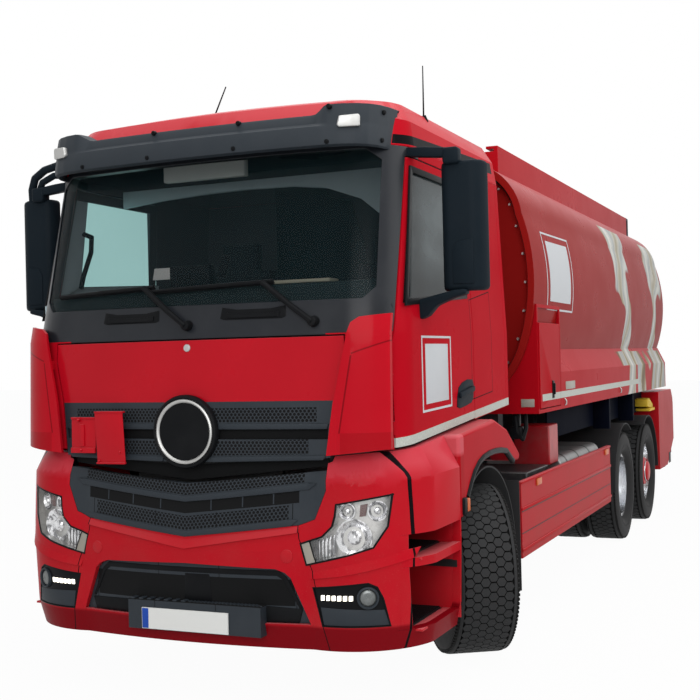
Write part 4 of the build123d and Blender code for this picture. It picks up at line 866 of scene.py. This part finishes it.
# ---- grille: ring and plain disc in the middle, round badge above, smooth lips under the bands of holes
GRILLE_MIDDLE = (0, 52, 1410)
ring = turned([(0, 152), (-9, 152), (-15, 156), (-18, 162), (-14, 169), (-8, 172), (0, 172)], GRILLE_MIDDLE, "Y", 72)
piece("grille_ring", ring, STEEL, "front_flap")
disc = turned([(4, 0.4), (-1, 60), (-3, 120), (-3, 159), (8, 159), (8, 0.4)], (0, 50, 1410), "Y", 72)
rim = [(2, 170), (-9, 173), (-13, 180), (-10, 188), (0, 194), (18, 194), (18, 170)]
join(disc, turned(rim, GRILLE_MIDDLE, "Y", 72))
piece("grille_disc", disc, BLACK, "front_flap")
badge = turned([(0, 0.3), (-5, 0.3), (-6, 12), (-4, 19), (0, 21)], (0, 92, 1850), "Y", 40)
piece("hood_badge", badge, STEEL, "front_flap")
flap_lips = draped([(180, 1420), (792, 1420), (800, 1448), (172, 1452)], CAB_ROWS, -9, 14, 5)
join(flap_lips, draped([(150, 1250), (770, 1264), (785, 1288), (140, 1278)], CAB_ROWS, -9, 14, 5))
piece("flap_grille_lips", twin(flap_lips), DARK, "front_flap")
low_lips = on_nose([(-690, 1114), (-220, 1064), (0, 1043), (220, 1064), (690, 1114), (735, 1146), (690, 1150),
                    (220, 1096), (0, 1074), (-220, 1096), (-690, 1150), (-735, 1146)], -9, 14, 5)
join(low_lips, on_nose([(-600, 930), (-200, 884), (0, 862), (200, 884), (600, 930), (636, 962), (600, 966),
                        (200, 916), (0, 893), (-200, 916), (-600, 966), (-636, 962)], -7, 12, 5))
for x in (150, 330, 500):
    join(low_lips, twin(on_nose([(x, 990 + x * 0.1), (x + 7, 990 + x * 0.1), (x + 7, 1042 + x * 0.1),
                                 (x, 1042 + x * 0.1)], -1, 4)))
piece("lower_grille_lips", low_lips, DARK)

# ---- bumper trim: ledges below the grille and the headlamps, tow caps, plate's band, step tread
ledge = on_nose([(-640, 900), (-300, 850), (0, 802), (300, 850), (640, 900), (640, 934), (300, 891), (0, 856),
                 (-300, 891), (-640, 934)], lambda x, z: -13 if z < 925 and z < 802 + abs(x) * 0.16 + 8 else 2, 14)
brows = on_nose([(700, 668), (850, 686), (990, 712), (1110, 742), (1180, 762), (1200, 812), (1110, 800), (985, 770),
                 (840, 738), (690, 706)], lambda x, z: -11 if z < 672 + (x - 700) * 0.19 + 8 else 2, 14)
piece("bumper_ledges", join(ledge, twin(brows)), RED_BUMPER)
caps = bmesh.new()
for side in (1, -1):
    spot = on_bumper(side * 576, 779)
    join(caps, moved(bar(spot + Vector((0, 12, 0)), spot - Vector((0, 3, 0)), 34, 33, 32, 1),
                     about(spot, side * 0.14)))
piece("tow_eye_caps", caps, RED_BODY)
piece("plate_band", cuboid((-257, -219), (-2.5, -0.3), (375, 479), 0.8), BLUE)
tread = boxes(3, *[(x, x + 26, 12, 66, 520, 529) for x in range(-340, 0, 52)], rounds=1)
for x in range(0, 420, 22):
    join(tread, moved(cuboid((x, x + 9), (8, 74), (519, 525), 2, 1), about((x, 40, 520), 0.9)))
piece("plate_step_ribs", tread, DARK)
intake = on_nose([(-640, 508), (-560, 668), (-520, 700), (520, 700), (560, 668), (640, 508), (622, 506), (545, 650),
                  (508, 672), (-508, 672), (-545, 650), (-622, 506)], 22, 20, 4)
join(intake, on_nose([(-30, 520), (140, 520), (128, 668), (-20, 668)], 24, 10, 8))
join(intake, on_nose([(-620, 434), (620, 434), (640, 506), (460, 516), (-400, 506), (-640, 502)], 20, 10, 5))
piece("intake_trim", intake, BLACK)

# ---- lamps in the bumper: reflector shells, lamps, lit strips
LAMP = [(835, 1046), (1104, 1092), (1085, 928), (1023, 824), (904, 787), (674, 731), (643, 846), (764, 886),
        (815, 935), (829, 987)]
FOG = [(706, 626), (992, 654), (1033, 632), (1057, 572), (1082, 428), (754, 428)]


def edging(outline, depth, thick, width):
    """Thin walls along the inside of a closed outline."""
    form = bmesh.new()
    middle = (sum(a for a, _ in outline) / len(outline), sum(b for _, b in outline) / len(outline))
    for (a, b), (c, d) in zip(outline, outline[1:] + outline[:1]):
        run = Vector((c - a, d - b)).normalized() * width
        side = Vector((-run.y, run.x))
        if side.dot(Vector((middle[0] - (a + c) / 2, middle[1] - (b + d) / 2))) < 0:
            side = -side
        join(form, on_nose([(a, b), (c, d), (c + side.x, d + side.y), (a + side.x, b + side.y)], depth, thick))
    return form


shells = on_nose(LAMP, 74, 6)
join(shells, edging(LAMP, 10, 66, 4))
piece("headlamp_shells", twin(shells), LAMP_SILVER)
flutes = bmesh.new()
for step in range(6):
    x, low, top = 700 + step * 21, 744 + step * 5.2, 853 + step * 6.4
    join(flutes, on_nose([(x, low), (x + 14, low + 3), (x + 14, top + 4), (x, top)], 44, 16, 3))
piece("headlamp_flutes", twin(flutes), LAMP_BRIGHT)
piece("headlamp_reflectors", twin(on_nose([(936, 975), (966, 979), (974, 1040), (940, 1034)], 52, 8, 2)),
      BROWN)
seals = edging(LAMP, -1.5, 7, 9)
join(seals, edging([(643, 846), (696, 860), (736, 748), (674, 731)], -1, 5, 5))
join(seals, edging(FOG, -1.5, 12, 5))
piece("lamp_seals", twin(seals), BLACK)
piece("turn_lamp_blocks", twin(on_nose([(646, 843), (694, 855), (731, 750), (676, 735)], 0, 4, 1)),
      LAMP_GREY)
bowls = bmesh.new()
for x, z, r, deep, turn in [(912, 872, 88, 52, 0.2), (1022, 1003, 46, 48, 0.5), (876, 1003, 38, 50, 0.2)]:
    bowl = turned([(40, 0.4), (36, r * 0.35), (22, r * 0.7), (0, r), (0, r + 6), (8, r + 6), (46, r * 0.5), (46, 0.4)],
                  axis="Y", steps=40)
    join(bowl, turned([(-4, 0.3), (0, r * 0.3), (10, r * 0.42), (34, r * 0.42), (34, 0.3)], axis="Y", steps=24))
    join(bowls, moved(bowl, Matrix.Translation(on_bumper(x, z, -deep)) @ Matrix.Rotation(turn, 4, "Z")))
piece("headlamp_bowls", twin(bowls), LAMP_BRIGHT)
strips, rims = bmesh.new(), bmesh.new()
for step in range(6):
    x = 752 + step * 29
    join(strips, on_nose([(x, 562), (x + 18, 563), (x + 19, 588), (x + 1, 587)], 0, 9, 2))
fog_place = Matrix.Translation(on_bumper(985, 577, -6)) @ Matrix.Rotation(0.42, 4, "Z")
join(rims, moved(turned([(-8, 44), (-14, 48), (-12, 55), (6, 57), (20, 57), (20, 44)], axis="Y", steps=40), fog_place))
join(rims, on_nose([(762, 436), (1073, 436), (1056, 514), (748, 526)], 3, 6, 2))
piece("daylight_strips", twin(strips), GLOW)
piece("fog_lamp_rims", twin(rims), DARK)
fogs = turned([(-6, 0.3), (-9, 18), (-7, 35), (0, 44), (8, 44), (8, 0.3)], axis="Y", steps=32)
piece("fog_lamp_glasses", twin(moved(fogs, fog_place)), FOG_GLASS)
pocket = [(710, 626), (992, 651)] + FOG[2:]
piece("fog_pockets", twin(on_nose(pocket, 6, 8)), BLACK)

# ---- step wells in the bumper's sides: red covers and linings, black treads
wells = boxes(2, (900, 1236, 846, 854, 345, 1150), (900, 1085, 300, 306, 345, 1100),
              (1131, 1205, 320, 846, 383, 395), (1131, 1205, 320, 846, 743, 755))
covers = bmesh.new()
for low, top in ((401, 714), (761, 879)):
    join(covers, on_nose([(1097, low), (1158, low), (1158, top), (1097, top)], 0.5, 6, step=8))
piece("step_well_covers", twin(covers), RED_BUMPER)
piece("step_well_linings", twin(wells), RED_BODY)
treads = bmesh.new()
for low in (397, 757):
    join(treads, boxes(2, (930, 1128, 384, 826, low, low + 4)))
    join(treads, boxes(2, *[(936, 1122, y, y + 9, low + 3, low + 9) for y in range(392, 820, 20)], rounds=1))
piece("step_treads", twin(treads), BLACK)

# ---- tyres and wheels

def tread_blocks(radius, columns, count, depth, long, wide):
    """Staggered six-sided blocks round the tread; a column is its place across the tyre."""
    blocks = bmesh.new()
    for lane, across in enumerate(columns):
        for step in range(count):
            block = bmesh.new()
            turn = math.tau * (step + 0.5 * (lane % 2)) / count
            bmesh.ops.create_cone(block, cap_ends=True, segments=6, radius1=0.56, radius2=0.52, depth=1)
            size = Matrix.Diagonal((wide, long, depth, 1))
            bmesh.ops.transform(block, verts=block.verts,
                                matrix=Matrix.Rotation(turn, 4, "X") @ Matrix.Translation(
                                    (across, 0, radius - depth / 2)) @ size @ Matrix.Rotation(math.pi / 6, 4, "Z"))
            join(blocks, block)
    return blocks


BLOCKS_ROUND = 56


def tyre_form(radius, width, lanes, rib):
    """Tyre about the X axis: turned carcass, shoulder ribs with notches, and a blocked middle."""
    columns = [46 * (lane - (lanes - 1) / 2) for lane in range(lanes)]
    count = BLOCKS_ROUND
    half = width / 2
    groove = radius - 13
    inner = 290
    outer = [
        (half - 74, inner - 2), (half - 62, inner), (half - 50, 306), (half - 30, 322), (half - 10, 345),
        (half - 3, 372), (half, 405), (half - 2, radius - 70), (half - 7, radius - 48), (half - 12, radius - 30),
        (half - 22, radius - 12), (half - 34, radius - 2), (half - rib, radius), (half - rib - 1, groove),
    ]
    ring = [(-x, r) for x, r in outer] + [(x, r) for x, r in reversed(outer)]
    form = turned(ring, steps=90)
    join(form, tread_blocks(radius - 0.5, columns, count, 14, math.tau * radius / count * 0.93, 55))
    for step in range(count * 2):
        lug = cuboid((-half + 12, -half + 40), (-9, 9), (radius - 42, radius - 8), 3, 1)
        join(lug, cuboid((half - 40, half - 12), (-9, 9), (radius - 42, radius - 8), 3, 1))
        join(form, moved(lug, Matrix.Rotation(math.tau * step / count / 2, 4, "X")))
    for place in (half - 2.5, -half + 2.5):
        join(form, turned([(place - 3, 380), (place + 3, 380), (place + 3, 384), (place - 3, 384)], steps=60))
    return form


def wheel_place(side, x, axle):
    """Matrix that sets a wheel made for the left side about the X axis in its place."""
    flip = Matrix.Identity(4) if side > 0 else Matrix.Rotation(math.pi, 4, "Z")
    return Matrix.Translation((side * x, axle[0], axle[1])) @ flip


def front_place(side):
    """As wheel_place, for a steered wheel that stands turned about its king pin."""
    pin = Vector((side * KINGPIN_X, *FRONT_AXLE))
    return about(pin, STEER_REST) @ wheel_place(side, FRONT_WHEEL_X, FRONT_AXLE)


def wheel_nuts(face):
    """Ring of ten hexagon nuts with their stud ends on a wheel's face."""
    nuts = bmesh.new()
    for step in range(10):
        nut = bar((face, 0, 160), (face + 22, 0, 160), 18, 16, 6, 2)
        join(nut, bar((face + 20, 0, 160), (face + 36, 0, 160), 9, 8, 8))
        join(nut, bar((face - 1, 0, 160), (face + 4, 0, 160), 23, 23, 16))
        join(nuts, moved(nut, Matrix.Rotation(math.tau * step / 10, 4, "X")))
    return nuts


FRONT_RADIUS, REAR_RADIUS = 498, 507
REAR_TYRE = (REAR_RADIUS, 315, 4, 52)
TWIN_SPACING = 350
drive_rubber = rubber("drive_rubber", (0, *DRIVE_AXLE), REAR_RADIUS)
tag_rubber = rubber("tag_rubber", (0, *TAG_AXLE), REAR_RADIUS)
for name, side in SIDES.items():
    pin = Vector((side * KINGPIN_X, *FRONT_AXLE))
    hub = pin + Matrix.Rotation(STEER_REST, 3, "Z") @ Vector((side * (FRONT_WHEEL_X - KINGPIN_X), 0, 0))
    front_rubber = rubber("front_rubber_" + name, hub, FRONT_RADIUS, STEER_REST)
    twins = join(tyre_form(*REAR_TYRE), moved(tyre_form(*REAR_TYRE), Matrix.Translation((-TWIN_SPACING, 0, 0))))
    # axle, body, node, tyre, rubber, place of the nuts along the axle, matrix of the wheel
    wheels = [
        ("front", "front_wheel_", "tyre_front_", tyre_form(FRONT_RADIUS, 385, 6, 48), front_rubber, 105,
         front_place(side)),
        ("drive", "drive_wheels_", "tyres_drive_", twins, drive_rubber, -138,
         wheel_place(side, REAR_WHEEL_X, DRIVE_AXLE)),
        ("tag", "tag_wheel_", "tyre_tag_", tyre_form(*REAR_TYRE), tag_rubber, 72,
         wheel_place(side, REAR_WHEEL_X, TAG_AXLE)),
    ]
    for axle, body, node, tyre, finish, _, place in wheels:
        piece(f"{axle}_tyre_tread_{name}", moved(tyre, place), finish, body + name, [node + name])
    for node in ("rim_front_", "rims_drive_", "rim_tag_"):
        dress(node + name, ALLOY, 3)
    for axle, body, _, _, _, face, place in wheels:
        piece(f"{axle}_wheel_nuts_{name}", moved(wheel_nuts(face), place), STEEL, body + name)
    cap = turned([(78, 0.5), (158, 0.5), (158, 84), (150, 98), (120, 106), (116, 140), (78, 146)])
    piece("tag_hub_cover_" + name, moved(cap, wheel_place(side, REAR_WHEEL_X, TAG_AXLE)), RED_BODY,
          "tag_wheel_" + name)

# ---- flanks of the cab: forms drawn as (y, z) outlines and laid on the left side

def side_half(z):
    """Half width of the cab at a height."""
    return row_at(CAB_ROWS, z)[0]


def on_side(outline, thick, lift=0.0, edge=0.0):
    form = slab(outline, "x", (0, thick), edge)
    for spot in form.verts:
        spot.co.x += side_half(spot.co.z) + lift
    return form


def inset(outline, width):
    """Convex outline moved inwards."""
    middle = Vector((sum(a for a, _ in outline), sum(b for _, b in outline))) / len(outline)
    lines = []
    for start, end in zip(outline, outline[1:] + outline[:1]):
        start, end = Vector(start), Vector(end)
        side = Vector((start.y - end.y, end.x - start.x)).normalized() * width
        if side.dot(middle - start) * width < 0:
            side = -side
        lines.append((start + side, end + side))
    corners = []
    for (a, b), (c, d) in zip([lines[-1]] + lines[:-1], lines):
        run, other = b - a, d - c
        share = (c - a).cross(other) / run.cross(other)
        corners.append(tuple(a + run * share))
    return corners


def rim_parts(outline, width):
    """Four-sided parts of a frame along the inside of a convex outline."""
    inner = inset(outline, width)
    return [[*pair, *reversed(within)] for pair, within in zip(zip(outline, outline[1:] + outline[:1]),
                                                               zip(inner, inner[1:] + inner[:1]))]


def side_ring(outline, width, thick, lift=0.0, edge=0.0):
    """Flat frame on the cab's side."""
    return join(bmesh.new(), *[on_side(part, thick, lift, edge) for part in rim_parts(outline, width)])


WINDOW = [(372, 2052), (1385, 2125), (1385, 2775), (572, 2775)]
for name, side in SIDES.items():
    face = Matrix.Diagonal((side, 1, 1, 1))
    door = "cab_door_" + name
    gasket = side_ring(inset(WINDOW, -14), 34, 12, -8, 2)
    piece("window_gasket_" + name, moved(gasket, face), BLACK, door)
    pocket = on_side([(1128, 1480), (1136, 1540), (1166, 1592), (1230, 1618), (1330, 1634), (1430, 1630), (1450, 1600),
                      (1440, 1524), (1400, 1494), (1290, 1480), (1180, 1470)], 5, -1, 2)
    join(pocket, moved(cuboid((1153, 1172), (1150, 1428), (1545, 1578), 8, 3),
                       about((1160, 1290, 1560), math.radians(7), "X")))
    piece("door_handle_" + name, moved(pocket, face), MIRROR_SHELL, door)
    border = side_ring([(555, 1477), (1040, 1490), (1040, 1885), (555, 1885)], 12, 2, 0)
    join(border, on_side([(612, 1520), (984, 1530), (984, 1842), (612, 1842)], 2, 0, 0.5))
    piece("door_sign_blank_" + name, moved(border, face), SIGN, door)

    # Mirror: rounded head with a lower lid, boxed upper arm, foot below; two pipes on the right
    shell = [(1250, 705), (1256, 628), (1292, 592), (1440, 594), (1486, 630), (1500, 705)]
    head = slab(shell, "z", (2115, 2800), 30, 4)
    join(head, slab([(1050, 2842), (1050, 2890), (1200, 2880), (1356, 2862), (1356, 2812), (1200, 2826)], "y",
                    (566, 622), 9))
    join(head, cuboid((1286, 1372), (560, 640), (2780, 2868), 16, 3))
    join(head, slab([(1108, 1980), (1096, 2052), (1130, 2074), (1330, 2118), (1400, 2122), (1404, 2096), (1330, 2078),
                     (1236, 2040), (1190, 1990), (1150, 1972)], "y", (556, 630), 14, 3))
    join(head, slab([(1322, 2150), (1322, 2332), (1346, 2370), (1436, 2386), (1436, 2148)], "y", (587, 600), 5, 2))
    if side < 0:
        join(head, pipe([(1096, 600, 2985), (1190, 596, 2995), (1290, 596, 2975), (1368, 600, 2930), (1400, 610, 2860),
                         (1404, 620, 2790)], 24, 12))
        join(head, pipe([(1110, 600, 2930), (1220, 594, 2935), (1310, 596, 2900), (1340, 604, 2850)], 20, 12))
    piece("mirror_shell_" + name, moved(head, face), MIRROR_SHELL, door, ["mirror_" + name])
    panes = boxes(4, (1272, 1480, 702, 707, 2352, 2776), (1272, 1480, 702, 707, 2140, 2330))
    piece("mirror_panes_" + name, moved(panes, face), MIRROR_GLASS, door)

# ---- front wheel arches: black lips and side marker lamps
lips = pipe([(1238, 990, 985), (1240, 1060, 1060), (1240, 1120, 1110), (1240, 1205, 1152), (1240, 1300, 1178),
             (1240, 1425, 1192), (1240, 1550, 1195), (1240, 1680, 1190), (1240, 1800, 1176), (1238, 1954, 1101)], 19)
join(lips, cuboid((1222, 1260), (890, 950), (896, 990), 10, 3))
liners = turned([(640, 606), (1222, 606), (1222, 616), (640, 616)], (0, *FRONT_AXLE), "X", 72)
for lean in (0.10, -0.10):
    cut_across(liners, (0, FRONT_AXLE[0], 560), (0, lean, -1), clear_outer=True)
    bmesh.ops.holes_fill(liners, edges=[e for e in liners.edges if e.is_boundary])
join(liners, cuboid((690, 1242), (2084, 2094), (250, 960), 2))
piece("wheel_arch_liners", twin(liners), LINER)
piece("wheel_arch_lips", twin(lips), BLACK)
piece("side_marker_lamps", twin(cuboid((1232, 1262), (944, 990), (908, 982), 7, 3)), AMBER)

# ---- inside the cab
far_window = [(640, 2250), (1495, 2300), (1531, 2770), (1470, 2823), (1300, 2830), (740, 2802)]
# A glowing plate inside the far door stands for the bright sky seen through its window: painted light
piece("far_window_glow", slab(far_window, "x", (-1078, -1074)), SKY_GLOW_PLATE, "cab_door_right")
pillar = slab([(330, 2100), (632, 2240), (732, 2812), (1560, 2840), (1560, 2900), (620, 2900)], "x", (-1076, -1070))
join(pillar, slab([(300, 1960), (300, 2120), (632, 2246), (1500, 2296), (1500, 1960)], "x", (-1078, -1070)))
piece("far_door_lining", pillar, BAND, "cab_door_right")
piece("header_light_panel", boxes(8, (-500, 48, 690, 740, 2843, 2951)), LIGHT_PANEL)
arch = [(-1000, 2760), (-700, 2790), (-400, 2806), (-100, 2812), (200, 2806), (420, 2780), (640, 2700), (760, 2600),
        (1000, 2600), (1000, 2870), (-1000, 2866)]
piece("header_band", slab(arch, "y", (1000, 1030), 4), BAND)
curtain = [(-360, 2200), (-358, 2966), (-107, 2962), (15, 2915), (40, 2873), (200, 2829), (293, 2523), (320, 2200)]
piece("bunk_curtain", slab(curtain, "y", (1880, 1900), 4), CURTAIN)
cowl = draped([(-1020, 2120), (1000, 2120), (1000, 2140), (-1020, 2140)], CAB_ROWS, 90, 30)
join(cowl, boxes(4, *[(-1000 + lath * 4, 1000 - lath * 4, 470 + lath * 20, 492 + lath * 20, 2170,
                       2197 - abs(lath - 4) * 2) for lath in range(12)]))
join(cowl, draped([(-1060, 2078), (1060, 2078), (1040, 2172), (-1040, 2160)], CAB_ROWS, 34, 12))
piece("dash_cowl", cowl, CURTAIN)
card = moved(boxes(1, (-466, -344, 498, 502, 2253, 2324)), about((-405, 500, 2253), -0.3, "X"))
piece("dash_card", card, WHITE)
clutter = boxes(10, (-343, -80, 480, 560, 2198, 2325))
join(clutter, slab([(-16, 2249), (26, 2373), (74, 2362), (42, 2238)], "y", (446, 456), 3))
join(clutter, pipe([(-1000, 583, 2561), (-1000, 658, 2549), (-1000, 649, 2457), (-1000, 568, 2306),
                    (-1000, 541, 2232)], 15))
piece("dash_clutter", clutter, BLACK)
piece("dash_papers", boxes(2, (286, 680, 440, 560, 2190, 2208)), CREAM)

# ---- roof: short and long antenna
masts = bar((-154, 700, 3180), (-120, 690, 3206), 24, 15)
join(masts, bar((-150, 698, 3196), (-40, 652, 3356), 5, 3.5, 8))
join(masts, bar((1010, 1100, 3120), (1006, 1090, 3160), 22, 13), bar((1006, 1090, 3150), (1036, 1010, 3425), 5, 3, 8))
piece("roof_antennas", masts, BLACK)

# ---- tank: seal inside the front rim, bolts, sign place, small fittings

def arc(start, middle, end, count):
    """Points on the circle through three (x, z) points, the last left out."""
    a, b, c = Vector(start), Vector(middle), Vector(end)
    centre = circle_middle(a, b, c)
    first, last = a - centre, c - centre
    swing = math.atan2(first.cross(last), first.dot(last))
    if (b - centre).dot(first + last) < 0:
        swing -= math.copysign(math.tau, swing)
    begin = math.atan2(first.y, first.x)
    turns = [begin + swing * k / count for k in range(count)]
    return [tuple(centre + Vector((math.cos(a), math.sin(a))) * first.length) for a in turns]


def tank_line(sunk):
    """Right half of the tank's section seen from the front, from the crown down to the keel."""
    crown = (820 - sunk * 0.4, 3120 - sunk)
    shoulder = (1168 - sunk, 2750 - sunk * 0.2)
    hip = (1160 - sunk, 1800 + sunk * 0.2)
    keel = (800 - sunk * 0.4, 1415 + sunk)
    return (arc((0, 3165 - sunk), (412, 3154 - sunk), crown, 6)
            + arc(crown, (1050 - sunk * 0.75, 2995 - sunk * 0.7), shoulder, 10)
            + arc(shoulder, (1245 - sunk, 2290), hip, 14)
            + arc(hip, (1035 - sunk * 0.75, 1592 + sunk * 0.7), keel, 8) + [keel])


seal = pipe([(x, 2660, z) for x, z in tank_line(52)], 10, 8)
piece("tank_rim_seals", twin(seal), BLACK)
rivets = bmesh.new()
for x, z in tank_line(84)[8::3]:
    join(rivets, bar((x, 2690, z), (x, 2676, z), 11, 8, 10))
for y, z in [(3432, 1415), (5706, 1422)]:
    join(rivets, pipe([(1245, y, z + 20), (1258, y, z), (1256, y, z - 24), (1246, y, z - 30)], 5, 8))
join(rivets, pipe([(1200, 2640, 2110), (1212, 2622, 2150), (1200, 2616, 2190)], 6, 8))
piece("tank_bolts_and_hooks", twin(rivets), STEEL)


def on_tank(outline, thick, lift=0.0):
    """Closed (y, z) outline laid on the tank's left flank."""
    form = slab(outline, "x", (0, thick))
    heights = [z for _, z in outline]
    for z in range(int(min(heights) // 40 + 1) * 40, int(max(heights)), 40):
        cut_across(form, (0, 0, z), (0, 0, 1))
    line = [(z, x) for x, z in reversed(tank_line(0))]
    for spot in form.verts:
        spot.co.x += row_at(line, spot.co.z)[0] + lift
    return form


outline = [(2966, 2650), (3830, 2658), (3815, 2085), (2990, 2088)]
sign = bmesh.new()
for part in rim_parts(outline, 14):
    join(sign, on_tank(part, 3, -1))
join(sign, on_tank([(3060, 2590), (3740, 2598), (3730, 2150), (3075, 2152)], 3, -1))
piece("tank_sign_blank", twin(sign), SIGN)
for name, side in SIDES.items():
    grab = boxes(4, (1244, 1254, 3034, 3086, 1452, 1578), rounds=3)
    join(grab, boxes(6, (1250, 1266, 3050, 3070, 1478, 1560), rounds=3))
    piece("locker_catch_" + name, moved(grab, Matrix.Diagonal((side, 1, 1, 1))), BLACK,
          BODY_OF["locker_door_" + name])
latch = cuboid((1243, 1249), (3471, 3787), (1498, 1559), 3)
join(latch, cuboid((1120, 1214), (2641, 2647), (1406, 1461), 2))
piece("trunk_label_plates", twin(latch), LAMP_GREY)

# ---- skirts: ridges, seams and reflectors
SKIRT_SPAN = (2123, 5134)
ridges = boxes(4, (1243, 1252, *SKIRT_SPAN, 756, 778), (1243, 1252, *SKIRT_SPAN, 490, 512),
               (1243, 1251, *SKIRT_SPAN, 930, 946))
piece("skirt_ridges", twin(ridges), RED_SIDE)
seams = boxes(0, (1244, 1246, *SKIRT_SPAN, 607, 613), (1244, 1246, *SKIRT_SPAN, 748, 755))
piece("skirt_seams", twin(seams), BLACK)
reflectors = boxes(3, (1244, 1255, 2516, 2640, 880, 926), (1244, 1255, 4890, 5030, 880, 926))
piece("skirt_reflectors", twin(reflectors), AMBER)

# ---- beside the frame: chocks, subframe panels, valve with its hose, latches
chock = slab([(7560, 1170), (7560, 1250), (7680, 1262), (7900, 1190), (7900, 1140)], "x", (1060, 1200), 10, 2)
join(chock, cuboid((1060, 1215), (7600, 7930), (1120, 1150), 6))
piece("wheel_chocks", twin(chock), YELLOW)
frames = boxes(3, (1050, 1064, 3600, 7990, 1110, 1352))
join(frames, boxes(8, (1060, 1210, 5330, 5390, 1080, 1356), (1060, 1210, 6560, 6620, 1080, 1356)))
piece("subframe_panels", twin(frames), NAVY)
hose = pipe([(1060, 2700, 1340), (1070, 2690, 1240), (1110, 2700, 1180), (1130, 2720, 1260), (1120, 2740, 1350)], 16)
join(hose, cuboid((1020, 1110), (2680, 2760), (1180, 1270), 12, 2), cuboid((1040, 1090), (2690, 2740), (1270, 1358), 6))
piece("valve_and_hose", hose, BLACK)
hollow = cuboid((1243, 1248), (8690, 8835), (462, 583), 8, 2)
piece("cabinet_side_latches", twin(hollow), BLACK)

# ---- tank top: hand rails and walkways
rails = pipe([(826, 8700, 3060), (826, 8700, 3330), (826, 8560, 3330), (826, 8560, 3280)], 15, 10)
piece("tank_handrails", twin(rails), DARK)
walk = boxes(0, *[(520, 800, y, y + 26, 3146, 3156) for y in range(3200, 8500, 60)],
             *[(x, x + 8, 3180, 8500, 3140, 3160) for x in (520, 655, 796)])
piece("tank_walkways", twin(walk), STEEL)

# ---- rear: lamp units, plate place, handles and warning strips
units = boxes(8, *[(x, x + 120, 9082, 9104, 560, 676) for x in (820, 950, 1080)])
piece("rear_lamps", twin(units), RED_LENS)
piece("rear_lamp_backs", twin(cuboid((800, 1220), (9020, 9086), (548, 690), 10, 2)), BLACK)
piece("rear_plate_blank", cuboid((-260, 260), (9110, 9118), (570, 680), 4), WHITE)
REAR_FACE = 9138
grips = boxes(5, *[(x, x + 120, REAR_FACE, REAR_FACE + 14, 800, 836) for x in (-620, 500)])
piece("rear_door_grips", grips, BLACK, BODY_OF["rear_door"])
band = boxes(0, *[(low, high, REAR_FACE, REAR_FACE + 5, bottom, 1150)
                  for low, high, bottom in ((-1236, -1186, 730), (1186, 1236, 730), (-1236, 1236, 1108))])
piece("rear_reflective_strips", band, WHITE, BODY_OF["rear_door"])

# ---- camera, floor and light
CAMERA_PLACE = (3.2266, -9.7679, 1.7753)
CAMERA_YAW, CAMERA_PITCH, CAMERA_ROLL = math.radians(23.374), math.radians(0.402), math.radians(-1.416)
FOCAL_SHARE = 1158.45 / 700
SENSOR = 36

camera = bpy.data.objects.new("camera", bpy.data.cameras.new("camera"))
forward = Vector((-math.sin(CAMERA_YAW) * math.cos(CAMERA_PITCH), math.cos(CAMERA_YAW) * math.cos(CAMERA_PITCH),
                  math.sin(CAMERA_PITCH)))
level = Vector((math.cos(CAMERA_YAW), math.sin(CAMERA_YAW), 0))
upward = level.cross(forward)
right = level * math.cos(CAMERA_ROLL) + upward * math.sin(CAMERA_ROLL)
upright = upward * math.cos(CAMERA_ROLL) - level * math.sin(CAMERA_ROLL)
look = Matrix((right, upright, -forward)).transposed().to_4x4()
camera.matrix_world = Matrix.Translation(CAMERA_PLACE) @ look
camera.data.sensor_width = SENSOR
camera.data.lens = FOCAL_SHARE * SENSOR
camera.data.clip_end = 300
bpy.context.scene.collection.objects.link(camera)
bpy.context.scene.camera = camera


def pale_ray(tree):
    """1 for rays that should see the plain pale surround."""
    ray = tree.node("ShaderNodeLightPath").socket.node
    seen, glossy, passed = (Wire(tree, ray.outputs[f"Is {kind} Ray"]) for kind in ("Camera", "Glossy", "Transmission"))
    return seen.either(glossy).either(passed)


# Below 1 the floor still takes a trace of the truck's shadow
FLOOR_PALENESS = 0.965
floor_form = bmesh.new()
bmesh.ops.create_grid(floor_form, x_segments=1, y_segments=1, size=60)
floor_mesh = bpy.data.meshes.new("floor")
floor_form.to_mesh(floor_mesh)
floor_form.free()
floor = bpy.data.objects.new("floor", floor_mesh)
bpy.context.scene.collection.objects.link(floor)
ground = Finish("pale_floor", (0.62, 0.62, 0.62), 0.9)
lit = ground.node("ShaderNodeEmission", {}, {"Color": (1, 1, 1, 1), "Strength": 1.0})
own = Wire(ground, ground.shader.outputs[0])
shown = ground.node("ShaderNodeMixShader", {}, [pale_ray(ground) * FLOOR_PALENESS, own, lit])
ground.link(shown, ground.graph.nodes["Material Output"].inputs[0])
floor_mesh.materials.append(ground.material)

world = bpy.data.worlds.new("studio")
bpy.context.scene.world = world
world.use_nodes = True
backdrop = world.node_tree.nodes["Background"]
backdrop.inputs["Color"].default_value = (1, 1, 1, 1)
sky = Tree(world.node_tree)
sky.link(pale_ray(sky) * 0.5 + 0.5, backdrop.inputs["Strength"])


def softbox(name, place, aim, size, power):
    lamp = bpy.data.lights.new(name, "AREA")
    lamp.shape = "RECTANGLE"
    lamp.size, lamp.size_y = size
    lamp.energy = power
    holder = bpy.data.objects.new(name, lamp)
    bpy.context.scene.collection.objects.link(holder)
    holder.location = place
    holder.rotation_euler = (Vector(aim) - Vector(place)).to_track_quat("-Z", "Y").to_euler()


softbox("overhead", (1.5, -2.0, 9.0), (0, 0, 1), (10, 12), 620)
softbox("front", (4.0, -13.0, 5.0), (0, -3, 1.6), (7, 5), 420)
softbox("flank", (11.0, -1.0, 5.5), (1, 0.5, 1.5), (10, 5), 300)

bpy.context.scene.view_settings.view_transform = "Standard"
